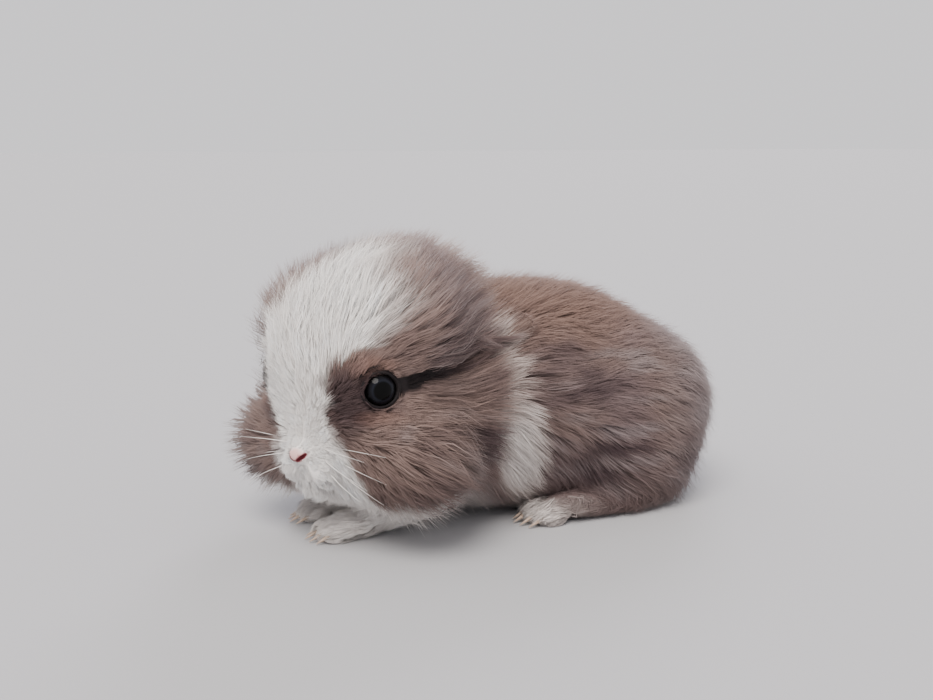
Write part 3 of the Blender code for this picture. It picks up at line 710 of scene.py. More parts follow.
def coat_length(places):
    """The length of the hair in millimetres."""
    x, _, z = places.T
    share = head_share(places)
    head = 1.7 + 12.0 * soft_step(nose_distance(places), 5, 44)
    head = np.minimum(head, 3.2 + 9.5 * soft_step(eye_distance(places), 6, 26))
    head = np.maximum(head, FLUFF_HAIR * cheek_fluff(places))
    length = mix(TRUNK_HAIR, head, share)
    length += 3.0 * soft_step(x, -60, -10) * share * soft_step(z, 20, 60)
    length += 3.0 * (1 - share) * soft_step(-z, -34, -18) * soft_step(x, 0, 20)
    return mix(mix(length, LIMB_HAIR, limb_share(places)), TAIL_HAIR, tail_share(places))


def coat_lie(places):
    """The way that the hair lies, not yet laid flat on the skin."""
    away = soft_step(nose_distance(places), 8, 26)[:, None]
    head = unit(places - np.array(LIE_SOURCE) + np.array((0, 0, -9)) * away)
    fall = np.interp(places[:, 2], TRUNK_HEIGHTS, TRUNK_FALL)
    fall -= np.maximum(places[:, 0] - RUMP_START, 0) / 30
    trunk = unit(np.stack([np.ones(len(fall)), np.zeros(len(fall)), fall], axis=1))
    way = mix(trunk, head, head_share(places)[:, None])
    way = mix(way, np.array(LIMB_LIE), limb_share(places)[:, None])
    return mix(way, np.array(TAIL_LIE), tail_share(places)[:, None])


# %% [markdown]
# ## The markings
#
# The coat is a soft taupe over grey, with white. A broad white blaze runs from the crown down
# between the eyes to an all-white muzzle. A pale collar lies behind the cheeks and widens to a
# paler patch at the shoulder, and chest and feet are white. The markings are painted in layers:
# each is a soft zone in the rabbit's own frame with a colour, laid over what is there. The crease
# behind each eye is darker, partly its own dark skin and partly painted shade. The same function
# colours the skin and every tuft, so both carry the same pattern.

# %% Colours of the coat
COAT = {
    "white": "#F3EEE9",
    "cream": "#C3B5AE",
    "fawn": "#88736C",
    "tan": "#7E6A63",
    "sand": "#80675C",
    "mauve": "#7C6A68",
    "ash": "#8C8180",
    "sable": "#62514F",
    "smoke": "#46383A",
    "dark": "#36282A",
    "black": "#1A1415",
    "rust": "#865D4C",
    "nose": "#DDB4AE",
    "nostril": "#75333A",
    "lid": "#171112",
}
COAT = {name: np.array(linear(value)[:3]) for name, value in COAT.items()}
BLAZE_UP = (-40, -30, -20, -9, 0, 8, 13, 17, 19, 24, 28, 38, 44)
BLAZE_NEAR = (24, 20, 15, 8.5, 9.5, 10.5, 14, 18.5, 25, 28, 28.5, 23.5, 12)  # to its left
BLAZE_FAR = (12, 9, 9, 15, 24, 31, 32, 32, 31, 28, 21, 15, 10)  # to its right


def near(places, centre, radii, edge=0.5):
    """A soft zone: 1 inside an ellipsoid, 0 past its radii grown by the edge."""
    reach = np.linalg.norm((places - np.array(centre)) / np.array(radii), axis=1)
    return 1 - soft_step(reach, 1 - edge, 1 + edge)


def layered(colours, layers):
    """The colours, with each named colour laid over them in turn by an amount from 0 to 1."""
    for name, amount in layers:
        colours = mix(colours, COAT[name], np.clip(amount, 0, 1)[:, None])
    return colours


# %% Trunk and collar
DARK_PATCHES = (
    # centre on the left flank, radii, amount
    ((34, 44, 56), (15, 14, 6), 0.80),
    ((24, 40, 68), (11, 12, 5), 0.45),
    ((34, 44, 26), (15, 14, 10), 1.00),
    ((33, 44, 24), (9, 14, 7), 1.00),
    ((46, 42, 27), (14, 14, 6), 0.55),
    ((12, 38, 60), (5, 12, 18), 0.45),
    ((16, 36, 30), (5, 12, 14), 0.45),
    ((78, 36, 26), (14, 14, 5), 0.50),
)
COLLAR_UP = (6, 19, 37, 53, 68, 78, 88)
COLLAR_FRONT = (20, 13.5, 9.5, 5.5, 4.0, 1.5, -3)


def trunk_markings(places, rough):
    """Sand over the spine, mauve flanks, darker patches, ash towards the rump, and the collar."""
    x, _, z = places.T
    patchy = waves(places * (0.6, 1, 1.3), 13, 3)
    flow = waves(places * (0.35, 1, 1.5), 7, 6)
    layers = [
        ("tan", 0.45 + 0.45 * patchy),
        ("sand", soft_step(z + rough, 60, 86) * 0.9),
        ("ash", soft_step(x + rough, 54, 92) * 0.8),
        ("sable", 0.45 * soft_step(flow, 0.2, 1.4) * soft_step(-z, -84, -60)),
        ("ash", 0.55 * soft_step(-flow, 0.1, 1.3) * soft_step(-z, -82, -66)),
    ]
    for side in (-1, 1):
        for (forward, out, up), radii, amount in DARK_PATCHES:
            zone = near(places + rough[:, None], (forward, side * out, up), radii)
            layers.append(("smoke", amount * zone * (0.75 + 0.35 * flow)))
    middle = np.interp(z, COLLAR_UP, COLLAR_FRONT) - np.interp(z, (20, 40, 60, 90), (7, 7.5, 5, 7))
    wide = np.interp(z, (10, 24, 40, 56, 70, 90), (5, 8, 9, 5, 5.5, 7))
    band = 1 - soft_step(np.abs(x + rough - middle) / wide, 0.5, 1.5)
    pale = 1 - soft_step(np.abs(x + 0.8 * rough - middle) / wide, 0.1, 1.4)
    layers += [
        ("sable", 0.5 * soft_step(-z + rough, -22, -10)),
        ("cream", 0.85 * band * soft_step(z, 4, 16)),
        ("white", 0.5 * pale * (1 - soft_step(np.abs(z + rough - 34), 8, 26))),
    ]
    return layered(COAT["mauve"], layers)


# %% Head
STREAK_PITCH = 10.5  # degrees between the dark streaks that fan out behind the eye
CHEEK_ZONES = (
    # colour, amount, middle as forward, out and up, radii, how rough its edge is
    ("smoke", 0.85, (-10, 46, -21), (15, 20, 8), 1),
    ("smoke", 0.4, (-14, 46, 1), (14, 20, 4), 1),
    ("sable", 0.7, (8, 42, -38), (30, 26, 10), 1),
    ("smoke", 0.8, (38, 18, 0), (9, 9, 12), 0.4),
    ("dark", 0.4, (39, 15, -4), (7, 6.5, 11), 0.4),
    ("rust", 0.3, (32, 24, 12), (9, 9, 3.5), 0.4),
    ("rust", 0.22, (32, 27, -6), (8, 8, 3), 0.4),
)
EYE_RINGS = {-1: (8.5, 8.5, 7.8), 1: (8.0, 8.0, 7.4)}  # radii of the dark ring round each eye
HEAD_BACK_UP = (-40, -18, 1, 15, 25, 34, 45)
HEAD_BACK = (-22, -19, -21, -24, -28.5, -29, -24)


def head_markings(places, rough):
    """Tan cheeks with smoky patches, streaks behind the eye, the blaze and the white muzzle."""
    head = to_head(places)
    forward, right, up = head.T
    flow = waves(head * (0.35, 1, 1.4), 6, 7)
    turn = np.degrees(np.arctan2(up - 3.6, 25 - forward))
    away = np.hypot(up - 3.6, 25 - forward)
    fan = np.cos(math.radians(360) * (turn - 43 + 3.5 * waves(places, 11, 8)) / STREAK_PITCH)
    temple = soft_step(away, 10, 18) * (1 - soft_step(away, 48, 62))
    temple *= soft_step(turn, 8, 14) * (1 - soft_step(turn, 46, 62)) * (np.abs(right) > 8)
    layers = [
        ("fawn", soft_step(up, 4, 30) * 0.8),
        ("sable", 0.5 * soft_step(flow, -0.1, 1.4)),
        ("ash", 0.3 * soft_step(-flow, 0.4, 1.5)),
        ("sable", 0.6 * temple),
        ("ash", 0.45 * temple * soft_step(-fan, 0.0, 1.0)),
        # Painted light: the right temple, left in shade by the key lamp, gets less smoke than the
        # left.
        ("smoke", (0.8 - 0.15 * (right > 0)) * temple * soft_step(fan, 0.1, 0.9)),
    ]
    for side in (-1, 1):
        for name, amount, (ahead, out, high), radii, broken in CHEEK_ZONES:
            zone = near(head + broken * rough[:, None], (ahead, side * out, high), radii)
            layers.append((name, amount * zone * (side * right > 0)))
    halves = [np.interp(up, BLAZE_UP, half) for half in (BLAZE_NEAR, BLAZE_FAR)]
    edge = np.where(right < 0, *halves) + rough
    soft = 2.2 + 5.5 * soft_step(up, 14, 30)
    blaze = 1 - soft_step((np.abs(right) - edge) / soft, -1.0, 1.1)
    blaze *= soft_step(forward + 1.5 * rough, -16, 6)
    muzzle = near(head + 0.4 * rough[:, None], (41, 0, -25.5), (19, 17.5, 14), 0.2)
    layers += [("white", blaze), ("white", muzzle)]
    for side, radii in EYE_RINGS.items():
        layers.append(("dark", 0.8 * near(head, (31, side * 27, 3.8), radii, 0.22)))
    # Dark skin and painted shade in the crease behind each eye, black at the eye's corner.
    dark = crease(places)
    behind = np.interp(up, HEAD_BACK_UP, HEAD_BACK)
    layers += [
        ("dark", dark * (0.5 + 0.45 * soft_step(forward, -16, 2))),
        ("black", 0.95 * soft_step(dark, 0.2, 0.8) * soft_step(forward, 0, 12)),
        ("cream", 0.8 * soft_step(-up + rough, 42, 50)),
        ("cream", 0.6 * soft_step(behind - forward + rough, -2, 12)),
    ]
    return layered(COAT["tan"], layers)


# %% All markings together


def markings(places):
    """The colour of the coat at places on its surface, as linear red, green and blue."""
    rough = waves(places, 9, 1) * 1.6 + waves(places, 4, 2) * 1.1
    share = head_share(places)[:, None]
    colours = mix(trunk_markings(places, rough), head_markings(places, rough), share)
    limbs = limb_share(places)
    layers = [
        ("white", 0.9 * limbs * soft_step(-places[:, 0], -40, 0)),
        ("cream", 0.3 * limbs * soft_step(-places[:, 0] + 0.5 * rough, -50, -24)),
        ("white", 0.9 * near(places, (-34, 0, 14), (34, 26, 16))),
        ("cream", 0.6 * tail_share(places)),
    ]
    return layered(colours, layers)


# %% [markdown]
# ## Guide hairs
#
# Hair is combed in two steps. A few thousand guides are rooted over the skin, under three
# millimetres apart, and each is walked along the skin in short steps by the lie of the coat, with
# a little wave. Its points are then lifted off the skin, up to the tips of the coat. The tufts
# follow the nearest guide and gather a little towards its tip, as the hair of a soft coat does.

# %% Skin as arrays


def rows_of(items, value, across, kind=np.float64):
    """One value of every item of a mesh, as rows."""
    rows = np.empty(len(items) * across, dtype=kind)
    items.foreach_get(value, rows)
    return rows.reshape(-1, across)


skin.data.calc_loop_triangles()
skin_places = rows_of(skin.data.vertices, "co", 3)
skin_normals = rows_of(skin.data.vertices, "normal", 3)
corners = rows_of(skin.data.loop_triangles, "vertices", 3, np.int32)
corner_loops = rows_of(skin.data.loop_triangles, "loops", 3, np.int32)
loop_uvs = rows_of(skin.data.uv_layers["OFBake"].data, "uv", 2)

first, second = (skin_places[corners[:, k]] - skin_places[corners[:, 0]] for k in (1, 2))
areas = np.linalg.norm(np.cross(first, second), axis=1) / 2
centres = skin_places[corners].mean(axis=1)
print("skin area in cm2:", round(areas.sum() / 100, 1))

# %% Where no hair is rooted
NOSE_PAD = (4.2, 6.4, 3.0)


def nostril_reach(places):
    """1 on the walls of the nostrils and more outside them, in shares of their radii."""
    reaches = []
    for side in (-1, 1):
        place, slant = nostril_axis(side)
        turned = np.array(pole_on(slant).to_3x3())
        reaches.append(np.linalg.norm((places - np.array(place)) @ turned / NOSTRIL, axis=1))
    return np.minimum(*reaches)


def bare(places):
    """True on the lids, on the nose, in the dark corner behind each eye, and on the floor."""
    head = to_head(places)
    result = np.linalg.norm((head - np.array(NOSE)) / NOSE_PAD, axis=1) < 1
    result |= nostril_reach(places) < 1.6
    result |= places[:, 2] < 0.4
    result |= (crease(places) > 0.6) & (head[:, 0] > 21)
    for side in (-1, 1):
        centre, ahead = (np.array(value) for value in eye_axes(side))
        away = places - centre
        along = away @ ahead
        ring = np.linalg.norm(away - along[:, None] * ahead, axis=1)
        result |= (ring < LID_RING + 0.5) & (along > 0)
    return result


def rooted(count, weights, draw):
    """Random roots on the skin: places, normals and unwrap coordinates."""
    chosen = draw.choice(len(corners), size=count, p=weights / weights.sum())
    u, v = draw.random((2, count))
    over = u + v > 1
    u[over], v[over] = 1 - u[over], 1 - v[over]
    shares = np.stack([1 - u - v, u, v], axis=1)[:, :, None]
    places = (skin_places[corners[chosen]] * shares).sum(axis=1)
    normals = (skin_normals[corners[chosen]] * shares).sum(axis=1)
    return places, unit(normals), (loop_uvs[corner_loops[chosen]] * shares).sum(axis=1)


# %% Helpers that comb


def spread_out(places, spacing):
    """Which of the places stay when none may be nearer to another than the spacing."""
    cells = {}
    kept = []
    steps = [(a, b, c) for a in (-1, 0, 1) for b in (-1, 0, 1) for c in (-1, 0, 1)]
    for index, place in enumerate(places.tolist()):
        x, y, z = (int(value // spacing) for value in place)
        others = [other for a, b, c in steps for other in cells.get((x + a, y + b, z + c), ())]
        if all(math.dist(other, place) >= spacing for other in others):
            cells.setdefault((x, y, z), []).append(place)
            kept.append(index)
    return kept


def laid_flat(ways, normals):
    """The ways without their share along the normals, as unit vectors."""
    return unit(ways - normals * (ways * normals).sum(axis=1)[:, None])


def turned_about(ways, normals, angles):
    """The ways, turned about the normals."""
    sine, cosine = np.sin(angles)[:, None], np.cos(angles)[:, None]
    return ways * cosine + np.cross(normals, ways) * sine


def snapped(tree, places):
    """The nearest places on a surface, with normals and distances."""
    found = [tree.find_nearest(Vector(place)) for place in places]
    return [np.array([hit[part] for hit in found]) for part in (0, 1, 3)]


# %% Comb the guides
GUIDE_TRIES = 26000
GUIDE_SPACING = 2.6
GUIDE_STEPS = 4
draw = np.random.default_rng(11)
skin_tree = surface_tree(skin)
tips_tree = surface_tree(outline)

roots, root_normals, _ = rooted(GUIDE_TRIES, areas, draw)
kept = spread_out(roots, GUIDE_SPACING)
roots, root_normals = roots[kept], root_normals[kept]
guide_length = coat_length(roots)
swing = 0.24 * waves(roots, 17, 21) + 0.10 * waves(roots, 6, 22)
more = 0.05 * waves(roots, 5, 23)
walk, walk_normals = [roots], [root_normals]
for step in range(GUIDE_STEPS):
    here, normals = walk[-1], walk_normals[-1]
    ways = turned_about(laid_flat(coat_lie(here), normals), normals, swing + more * step)
    ahead = here + ways * (guide_length / GUIDE_STEPS)[:, None]
    ahead, normals, _ = snapped(skin_tree, ahead)
    walk.append(ahead)
    walk_normals.append(normals)
guides = np.stack(walk, axis=1)
print("guides:", len(roots))

# %% Lift the guides off the skin
LEAST_DEPTH, MOST_DEPTH = 0.8, 6.5

own = np.maximum(limb_share(roots), tail_share(roots))
over = [snapped(tips_tree, here) for here in walk]
smoother = np.stack([hit[1] for hit in over], axis=1) * (1.5 - 1.5 * own)[:, None, None]
guide_normals = unit(np.stack(walk_normals, axis=1) + smoother)
fluff = cheek_fluff(roots)
depth = np.clip(over[0][2], LEAST_DEPTH, MOST_DEPTH + 5.5 * fluff)
depth = np.minimum(depth, 0.3 + (0.45 + 0.3 * fluff) * guide_length)
depth = mix(depth, 0.32 * guide_length, own)
depth *= 1 - 0.6 * crease(roots)
depth += 1.3 * ear_share(roots)
guide_tree = KDTree(len(roots))
for index, place in enumerate(roots):
    guide_tree.insert(place, index)
guide_tree.balance()
print("depth of the coat in mm:", depth.min().round(1), "to", depth.max().round(1))

# %% [markdown]
# ## Tufts
#
# Two kinds of tuft make the coat. Curved ones have two rings of three points and a tip, and give
# it body and flow. Straight fine ones have one ring and a tip, and there are far more of them:
# they break the surface into single hairs and stand out as a soft fuzz. A particle system would
# be quicker to set up, but its hairs aren't a mesh. Here all tufts of one region are made at once
# as arrays, and each carries its place on the skin's unwrap and a colour that goes from a root
# darkened with painted shade, where the hairs shade one another, to a paler tip.

# %% Kinds of tuft
PATCH = 0.003  # how much of the skin's unwrap each tuft takes
MOST_TRIANGLES = 196000
LEAST_HEIGHT = 0.35  # over the floor
ROOT_SINK = 0.5  # how far a root reaches into the skin
KINDS = {
    # stations along the tuft, height and breadth there
    "body": {
        "tufts": 66000,
        "stations": (0.0, 0.45, 1.0),
        "rise": (0.0, 0.62, 0.92),
        "breadth": (0.8, 1.0, 0.0),
        "width": (0.22, 0.013),  # at no length, and more for each millimetre
        "length": (0.75, 1.10),
        "gather": (0.05, 0.40),
        "lift": (0.75, 1.02),
        "loose": 0.06,
    },
    "fine": {
        "tufts": 198000,
        "stations": (0.0, 1.0),
        "rise": (0.0, 1.0),
        "breadth": (1.0, 0.0),
        "width": (0.15, 0.009),
        "length": (0.60, 1.00),
        "gather": (0.0, 0.30),
        "lift": (0.80, 1.12),
        "loose": 0.16,
    },
}


def around_eye(points, side):
    """Points on an eye's axis, the offsets from it, their lengths, and the room that is kept."""
    centre, ahead = (np.array(value) for value in eye_axes(side))
    away = points - centre
    along = away @ ahead
    flat = away - along[..., None] * ahead
    ring = np.maximum(np.linalg.norm(flat, axis=-1), 0.5)
    room = LID_RING + 0.5 - 1.6 * soft_step(flat[..., 2] / ring, 0.1, 0.8)
    room = np.where((along > -2) & (along < 16), room, 0.0)
    return centre + along[..., None] * ahead, flat, ring, room


def clear_of_eyes(points):
    """Pushes points sideways out of the opening of each eye, less so under the brow."""
    for side in (-1, 1):
        on_axis, flat, ring, room = around_eye(points, side)
        points = on_axis + flat * np.maximum(room / ring, 1.0)[..., None]
    return points


def crosses_an_eye(points):
    """True for each tuft that still passes over an eye between two of its points."""
    result = np.zeros(len(points), dtype=bool)
    for side in (-1, 1):
        _, _, ring, room = around_eye((points[:, 1:] + points[:, :-1]) / 2, side)
        result |= (ring < room - 0.7).any(axis=1)
    return result


def grown_tufts(kind, draw):
    """The stations of every tuft with their normals, its width and its unwrap coordinates."""
    count = kind["tufts"] // 1
    thick, thicker = kind["width"]
    lengths = coat_length(centres)
    density = 1 / (lengths + 1.5) / (thick + thicker * lengths)
    places, _, uvs = rooted(count, areas * density * ~bare(centres), draw)
    chosen = np.array([guide_tree.find(place)[1] for place in places.tolist()])
    long = guide_length[chosen]
    factor = draw.uniform(*kind["length"], count)
    high = soft_step(long, 6, 12)
    gather = draw.uniform(*kind["gather"], count) * (0.3 + 0.7 * high)
    lift = draw.uniform(*kind["lift"], count)
    fluffy = head_share(places) * soft_step(nose_distance(places), 26, 44)
    loose = draw.random(count) < kind["loose"] * (1 + 2 * fluffy)
    lift[loose] *= 1.2 + (0.35 + 0.5 * fluffy[loose]) * high[loose]
    frizz = draw.normal(size=(count, 3)) * (0.05 * long)[:, None]
    rows, row_normals = [], []
    offset = places - roots[chosen]
    for station, rise in zip(kind["stations"], kind["rise"]):
        at = np.clip(station * factor, 0, 1) * GUIDE_STEPS
        low = np.minimum(at.astype(int), GUIDE_STEPS - 1)
        part = (at - low)[:, None]
        base = mix(guides[chosen, low], guides[chosen, low + 1], part)
        normal = unit(mix(guide_normals[chosen, low], guide_normals[chosen, low + 1], part))
        gathered = offset * (1 - gather * station**1.3)[:, None]
        up = (depth[chosen] * rise * lift - (ROOT_SINK if station == 0 else 0.0))[:, None]
        rows.append(base + gathered + normal * up + frizz * station**1.5)
        row_normals.append(normal)
    points = np.stack(rows, axis=1)
    points[:, 1:] = clear_of_eyes(points[:, 1:])
    points[:, :, 2] = np.maximum(points[:, :, 2], LEAST_HEIGHT)
    width = (thick + thicker * (long * factor)) * draw.uniform(0.75, 1.25, count)
    width *= 1.0
    tufts = {
        "places": places,
        "points": points,
        "normals": np.stack(row_normals, axis=1),
        "uvs": uvs,
        "width": width,
        "chosen": chosen,
    }
    kept = ~crosses_an_eye(points)
    return {name: values[kept] for name, values in tufts.items()}


# %% Shades along a tuft
OWN_SHADE = 0.07  # how much the tufts differ


def shades(kind, tufts, draw):
    """The colour at each station of every tuft, with painted shade at its root and a paler tip."""
    colour = markings((tufts["points"][:, 0] + tufts["points"][:, -1]) / 2)
    own = draw.normal(1.0, OWN_SHADE, len(colour))
    own *= (1 + 0.06 * waves(roots, 3.5, 31))[tufts["chosen"]]
    colour = np.clip(colour * own[:, None], 0.004, 0.95)
    rows = []
    # Painted shade: darker towards the root, where hairs shade one another; paler at the tip.
    for station in kind["stations"]:
        shade = 0.84 + 0.16 * min(station / 0.45, 1.0) + 0.10 * max(station - 0.45, 0) / 0.55
        rows.append(np.clip(colour * shade, 0, 0.95))
    return np.stack(rows, axis=1)


# %% Tufts as a mesh
SOFTNESS = 0.65  # how far a tuft is shaded with the skin below it, as soft hair is


def store_colours(mesh, colours):
    """Stores a colour for every vertex, which the hair's finish reads."""
    rgba = np.ones((len(mesh.vertices), 4), dtype=np.float32)
    rgba[:, :3] = colours
    attribute = mesh.color_attributes.new("coat colour", "FLOAT_COLOR", "POINT")
    attribute.data.foreach_set("color", rgba.ravel())


def tuft_mesh(name, kind, tufts, colours, part):
    """One mesh of closed three-sided blades, and the normals that it is shaded with."""
    points, normals, colours = tufts["points"][part], tufts["normals"][part], colours[part]
    count, stations = points.shape[:2]
    rings = stations - 1
    size = rings * 3 + 1

    def at_corners(corners, tip):
        """Values for the three corners of each ring and for the tip, tuft by tuft."""
        rows = np.stack([corner[:, :rings] for corner in corners], axis=2)
        return np.concatenate([rows.reshape(count, rings * 3, 3), tip], axis=1).reshape(-1, 3)

    along = unit(np.gradient(points, axis=1))
    across = unit(np.cross(along, normals))
    upwards = np.cross(across, along)
    half = tufts["width"][part][:, None, None] / 2 * np.array(kind["breadth"])[None, :, None]
    sides = ((-1, 0), (1, 0), (0, 0.9))  # left, right and top corner of each ring
    edges = ((0, 1), (1, 2), (2, 0))
    verts = at_corners(
        [points + across * half * a + upwards * half * b for a, b in sides], points[:, -1:]
    )

    faces = [(0, 1, 2)]
    for low in range(0, rings * 3 - 3, 3):
        for first, second in edges:
            faces.append((low + second, low + first, low + first + 3, low + second + 3))
    last = rings * 3 - 3
    faces += [(last + second, last + first, size - 1) for first, second in edges]
    pattern = np.array([index for face in faces for index in face], dtype=np.int32)
    loops = (np.arange(count, dtype=np.int32)[:, None] * size + pattern).ravel()
    totals = np.tile([len(face) for face in faces], count)
    starts = np.concatenate([[0], np.cumsum(totals)[:-1]]).astype(np.int32)

    mesh = bpy.data.meshes.new(name)
    mesh.vertices.add(count * size)
    mesh.vertices.foreach_set("co", verts.ravel().astype(np.float32))
    mesh.loops.add(len(loops))
    mesh.loops.foreach_set("vertex_index", loops)
    mesh.polygons.add(len(totals))
    mesh.polygons.foreach_set("loop_start", starts)
    mesh.polygons.foreach_set("use_smooth", np.ones(len(totals), dtype=bool))
    mesh.update(calc_edges=True)

    steps = np.repeat(np.linspace(-0.5, 0.5, stations)[:rings], 3)
    patch = np.stack([np.append([-0.5, 0.5, 0.0] * rings, 0.0), np.append(steps, 0.5)], axis=1)
    vertex_uvs = tufts["uvs"][part][:, None, :] + patch[None] * PATCH
    layer = mesh.uv_layers.new(name="OFBake")
    layer.data.foreach_set("uv", vertex_uvs.reshape(-1, 2)[loops].ravel().astype(np.float32))
    store_colours(mesh, at_corners([colours] * 3, colours[:, -1:]))

    spread = [across * a + upwards * (b - 0.3) for a, b in sides]
    turned = at_corners(spread, along[:, -1:] * 0.3 + upwards[:, -1:])
    return mesh, unit(mix(turned, at_corners([normals] * 3, normals[:, -1:]), SOFTNESS))


# %% [markdown]
# ## Finishes
#
# Rabbit hair is keratin: a dielectric with an IOR near 1.55, fine scales that scatter light, and a
# soft sheen at grazing angles. The skin below it is thin and pink, and takes the coat's colour
# where short hair covers it, a little darker as painted shade under the hair. Both read the colour
# that is stored on the mesh.

# %% Hair and skin


def hair_finish(name, roughness, sheen):
    """Soft rabbit hair, in the colour that each tuft carries."""
    finish, tree, shader = new_material(
        name,
        {
            "Roughness": roughness,
            "IOR": 1.55,
            "Specular IOR Level": 0.2,
            "Sheen Weight": sheen,
            "Sheen Roughness": 0.4,
        },
    )
    colour = add_node(tree, "ShaderNodeVertexColor", {"layer_name": "coat colour"})
    tree.links.new(colour.outputs["Color"], shader.inputs["Base Color"])
    return finish


coat_finish = hair_finish("rabbit hair", 0.7, 0.2)
skin_finish = hair_finish("skin under short hair", 0.6, 0.05)


def skin_colours(places):
    """The markings, darker as painted shade under hair, with the bare nose, nostrils and lids."""
    away = distance(places, *[eye_axes(side)[0] for side in (-1, 1)])
    layers = [
        ("nose", near(to_head(places), NOSE, (4, 4.6, 3.0), 0.3)),
        ("nostril", 1 - soft_step(nostril_reach(places), 1.15, 1.6)),
        ("lid", 1 - soft_step(away, EYE_RADIUS + 1.7, EYE_RADIUS + 3.0)),
    ]
    # Painted shade: the skin is a tenth darker than the coat, as it lies in the hair's shade.
    return layered(markings(places) * 0.9, layers)


# %% Pieces of the coat
FACE_HALF = 14  # half the width of the middle piece of the head


def regions_of(places):
    """Which tufts belong to which piece of the coat."""
    in_face = head_share(places) > 0.5
    side = np.where(in_face, to_head(places)[:, 1], places[:, 1])
    on_limb = ~in_face & (limb_share(places) > 0.5)
    trunk = ~in_face & ~on_limb
    return {
        "head_left": in_face & (side < -FACE_HALF),
        "head_right": in_face & (side > FACE_HALF),
        "head_middle": in_face & (np.abs(side) <= FACE_HALF),
        "limbs": on_limb,
        "trunk_left": trunk & (side < 0),
        "trunk_right": trunk & (side >= 0),
    }


# %% Grow the coat, piece by piece
all_triangles = 0
for kind_name, kind in KINDS.items():
    tufts = grown_tufts(kind, draw)
    colours = shades(kind, tufts, draw)
    each = 6 * (len(kind["stations"]) - 2) + 4
    for region, members in regions_of(tufts["places"]).items():
        indices = np.nonzero(members)[0]
        order = indices[np.argsort(tufts["places"][indices, 0], kind="stable")]
        parts = math.ceil(len(order) * each / MOST_TRIANGLES)
        for number, part in enumerate(np.array_split(order, parts), 1):
            name = f"coat_{kind_name}_{region}" + (f"_{number}" if parts > 1 else "")
            mesh, soft = tuft_mesh(name, kind, tufts, colours, part)
            mesh.transform(IN_FRAME)
            mesh.normals_split_custom_set_from_vertices(soft)
            mesh.materials.append(coat_finish)
            piece = placed(name, mesh)
            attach(piece, "root")
            all_triangles += len(part) * each
            print(name, len(part), "tufts")
print("triangles of the coat:", all_triangles)

# %% Colour the skin and put it in the frame
store_colours(skin.data, skin_colours(skin_places))
skin.data.materials.clear()
skin.data.materials.append(skin_finish)
skin.data.transform(IN_FRAME)
skin.name = "rabbit_skin"
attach(skin, "root")
FLESH = ("head", "neck", "torso", "tail", "ear_left", "ear_right")
LIMBS = ("foreleg_left", "foreleg_right", "hindleg_left", "hindleg_right")
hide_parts(*FLESH, *LIMBS)
bpy.data.objects.remove(outline)
print("skin replaces", len(FLESH + LIMBS), "nodes")

# %% [markdown]
# ## The eyes
#
# A rabbit's eye is a dark ball with a wide pupil, and a clear cornea bulges over it. Here the ball
# carries the pupil and a dim grey-blue iris, drawn by the distance from the way that it looks,
# and the surface has the cornea's own IOR of 1.376 and its sharp, small highlights.

# %% Eyeballs
IRIS = (
    # distance from the pole in shares of the eye's radius, colour there
    (0.0, "#030303"),
    (0.44, "#040404"),
    (0.54, "#191B22"),
    (0.64, "#121217"),
    (0.8, "#060505"),
)


def eye_finish(name, pole):
    """A wet, nearly black eye with a dim iris round its pole."""
    sockets = {"Roughness": 0.05, "IOR": 1.376, "Specular IOR Level": 0.16}
    finish, tree, shader = new_material(name, sockets)
    place = add_node(tree, "ShaderNodeTexCoord").outputs["Object"]
    away = add_node(tree, "ShaderNodeVectorMath", {"operation": "DISTANCE", 1: pole}, {0: place})
    radius = {"operation": "DIVIDE", 1: EYE_RADIUS * MM}
    share = add_node(tree, "ShaderNodeMath", radius, {0: away.outputs["Value"]})
    ramp = add_node(tree, "ShaderNodeValToRGB", None, {"Fac": share.outputs[0]})
    while len(ramp.color_ramp.elements) < len(IRIS):
        ramp.color_ramp.elements.new(1.0)
    for element, (position, colour) in zip(ramp.color_ramp.elements, IRIS):
        element.position = position
        element.color = linear(colour)
    tree.links.new(ramp.outputs["Color"], shader.inputs["Base Color"])
    return finish


for side, word in ((-1, "left"), (1, "right")):
    centre, ahead = eye_axes(side)
    ball = round_piece("eyeball_" + word, centre, [EYE_RADIUS] * 3, ahead)
    ball.data.transform(IN_FRAME)
    ball.data.shade_smooth()
    pole = IN_FRAME @ (centre + ahead * EYE_RADIUS)
    ball.data.materials.append(eye_finish("wet dark eye " + word, pole))
    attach(ball, "root")
    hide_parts("eye_" + word)
    print("pole of the eye at", [round(value, 4) for value in pole])

# %% [markdown]
# ## Claws
#
# A rabbit's claws are curved cones of horn, mostly hidden by the fur of the toes.

# %% Claws
CLAW_TIP = 0.12
claw_shape = bmesh.new()
for side in (-1, 1):
    for *row, radii, (length, thick) in TOES:
        for place in toe_places(side, *row):
            root = place + Vector((0.6 - radii[0], 0, -0.3))
            tip = Vector((root.x - length, root.y, 0.7))
            way = tip - root
            bmesh.ops.create_cone(
                claw_shape,
                cap_ends=True,
                segments=12,
                radius1=thick,
                radius2=CLAW_TIP,
                depth=way.length,
                matrix=Matrix.Translation((root + tip) / 2) @ pole_on(way),
            )
claws = object_from("claws", claw_shape, IN_FRAME)
claws.data.shade_smooth()
horn, _, _ = new_material("pale horn", {"Base Color": linear("#BFA894"), "Roughness": 0.35})
claws.data.materials.append(horn)
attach(claws, "root")
print("claws:", len(claws.data.polygons), "faces")

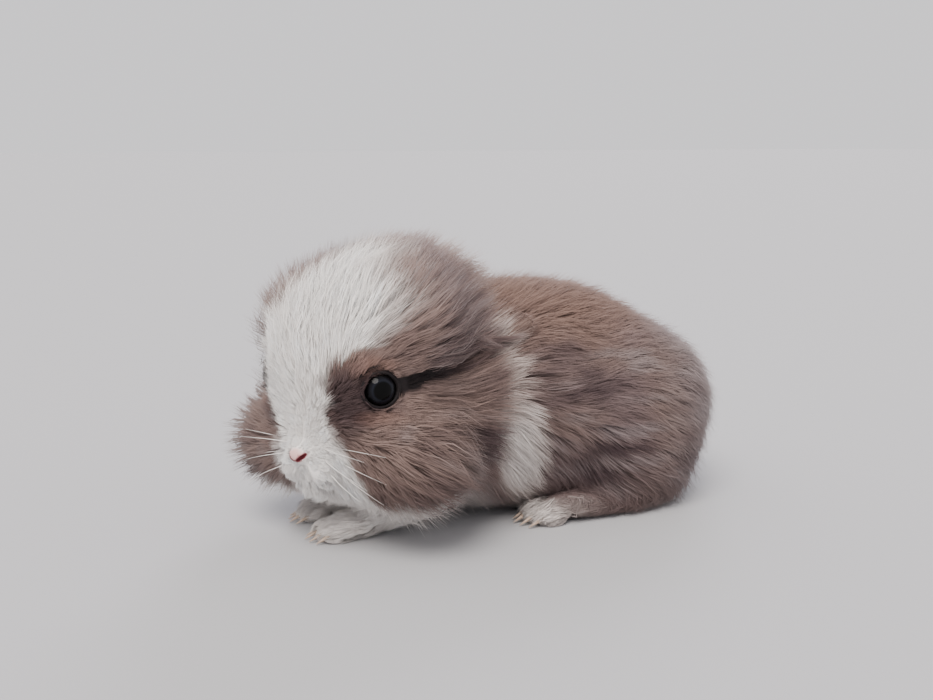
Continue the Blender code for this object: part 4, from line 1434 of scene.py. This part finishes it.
# %% [markdown]
# ## Whiskers
#
# Stiff, white hairs grow in rows on each side of the muzzle. In life they taper from a third of a
# millimetre to nothing, and a calm rabbit lets them sweep out and back past its cheeks. A curve
# with a taper would do, but has no mesh of its own: here each is a thin cone that is cut into
# short lengths, which are then moved back and down by the square of the way along it.

# %% Whiskers
WHISKER_ROWS = ((-18, 39), (-22, 39), (-26, 37.5))  # height of the row, and its front
WHISKER_LENGTHS = (19, 27)
WHISKER_THICK, WHISKER_TIP = 0.16, 0.03
WHISKER_BEND = way_on_side(1, (-7, 0, -3))
whisker_shape = bmesh.new()
whisker_mesh = bpy.data.meshes.new("whisker")
whisker_draw = random.Random(5)
for side in (-1, 1):
    for up, front in WHISKER_ROWS:
        for order in range(3):
            length = whisker_draw.uniform(*WHISKER_LENGTHS)
            one = bmesh.new()
            bmesh.ops.create_cone(
                one,
                cap_ends=True,
                segments=6,
                radius1=WHISKER_THICK,
                radius2=WHISKER_TIP,
                depth=length,
                matrix=Matrix.Translation((0, 0, length / 2)),
            )
            long_edges = [edge for edge in one.edges if edge.calc_length() > 1]
            bmesh.ops.subdivide_edges(one, edges=long_edges, cuts=7)
            shares = [vert.co.z / length for vert in one.verts]
            way = way_on_side(side, (0.5 - 0.25 * order, 1, 0.06 * (up + 20)))
            place = Matrix.Translation(on_side(side, (front - 3 * order, 8 + order, up)))
            bmesh.ops.transform(one, matrix=place @ pole_on(way), verts=one.verts)
            for vert, share in zip(one.verts, shares):
                vert.co += WHISKER_BEND * share**2
            one.to_mesh(whisker_mesh)
            one.free()
            whisker_shape.from_mesh(whisker_mesh)
bpy.data.meshes.remove(whisker_mesh)
open_edges = [edge for edge in whisker_shape.edges if len(edge.link_faces) != 2]
bmesh.ops.recalc_face_normals(whisker_shape, faces=whisker_shape.faces)
whiskers = object_from("whiskers", whisker_shape, IN_FRAME)
keratin = {"Base Color": linear("#EFEAE4"), "Roughness": 0.4}
whiskers.data.materials.append(new_material("stiff white whisker", keratin)[0])
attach(whiskers, "root")
print("whiskers:", len(whiskers.data.polygons), "faces, open edges:", len(open_edges))
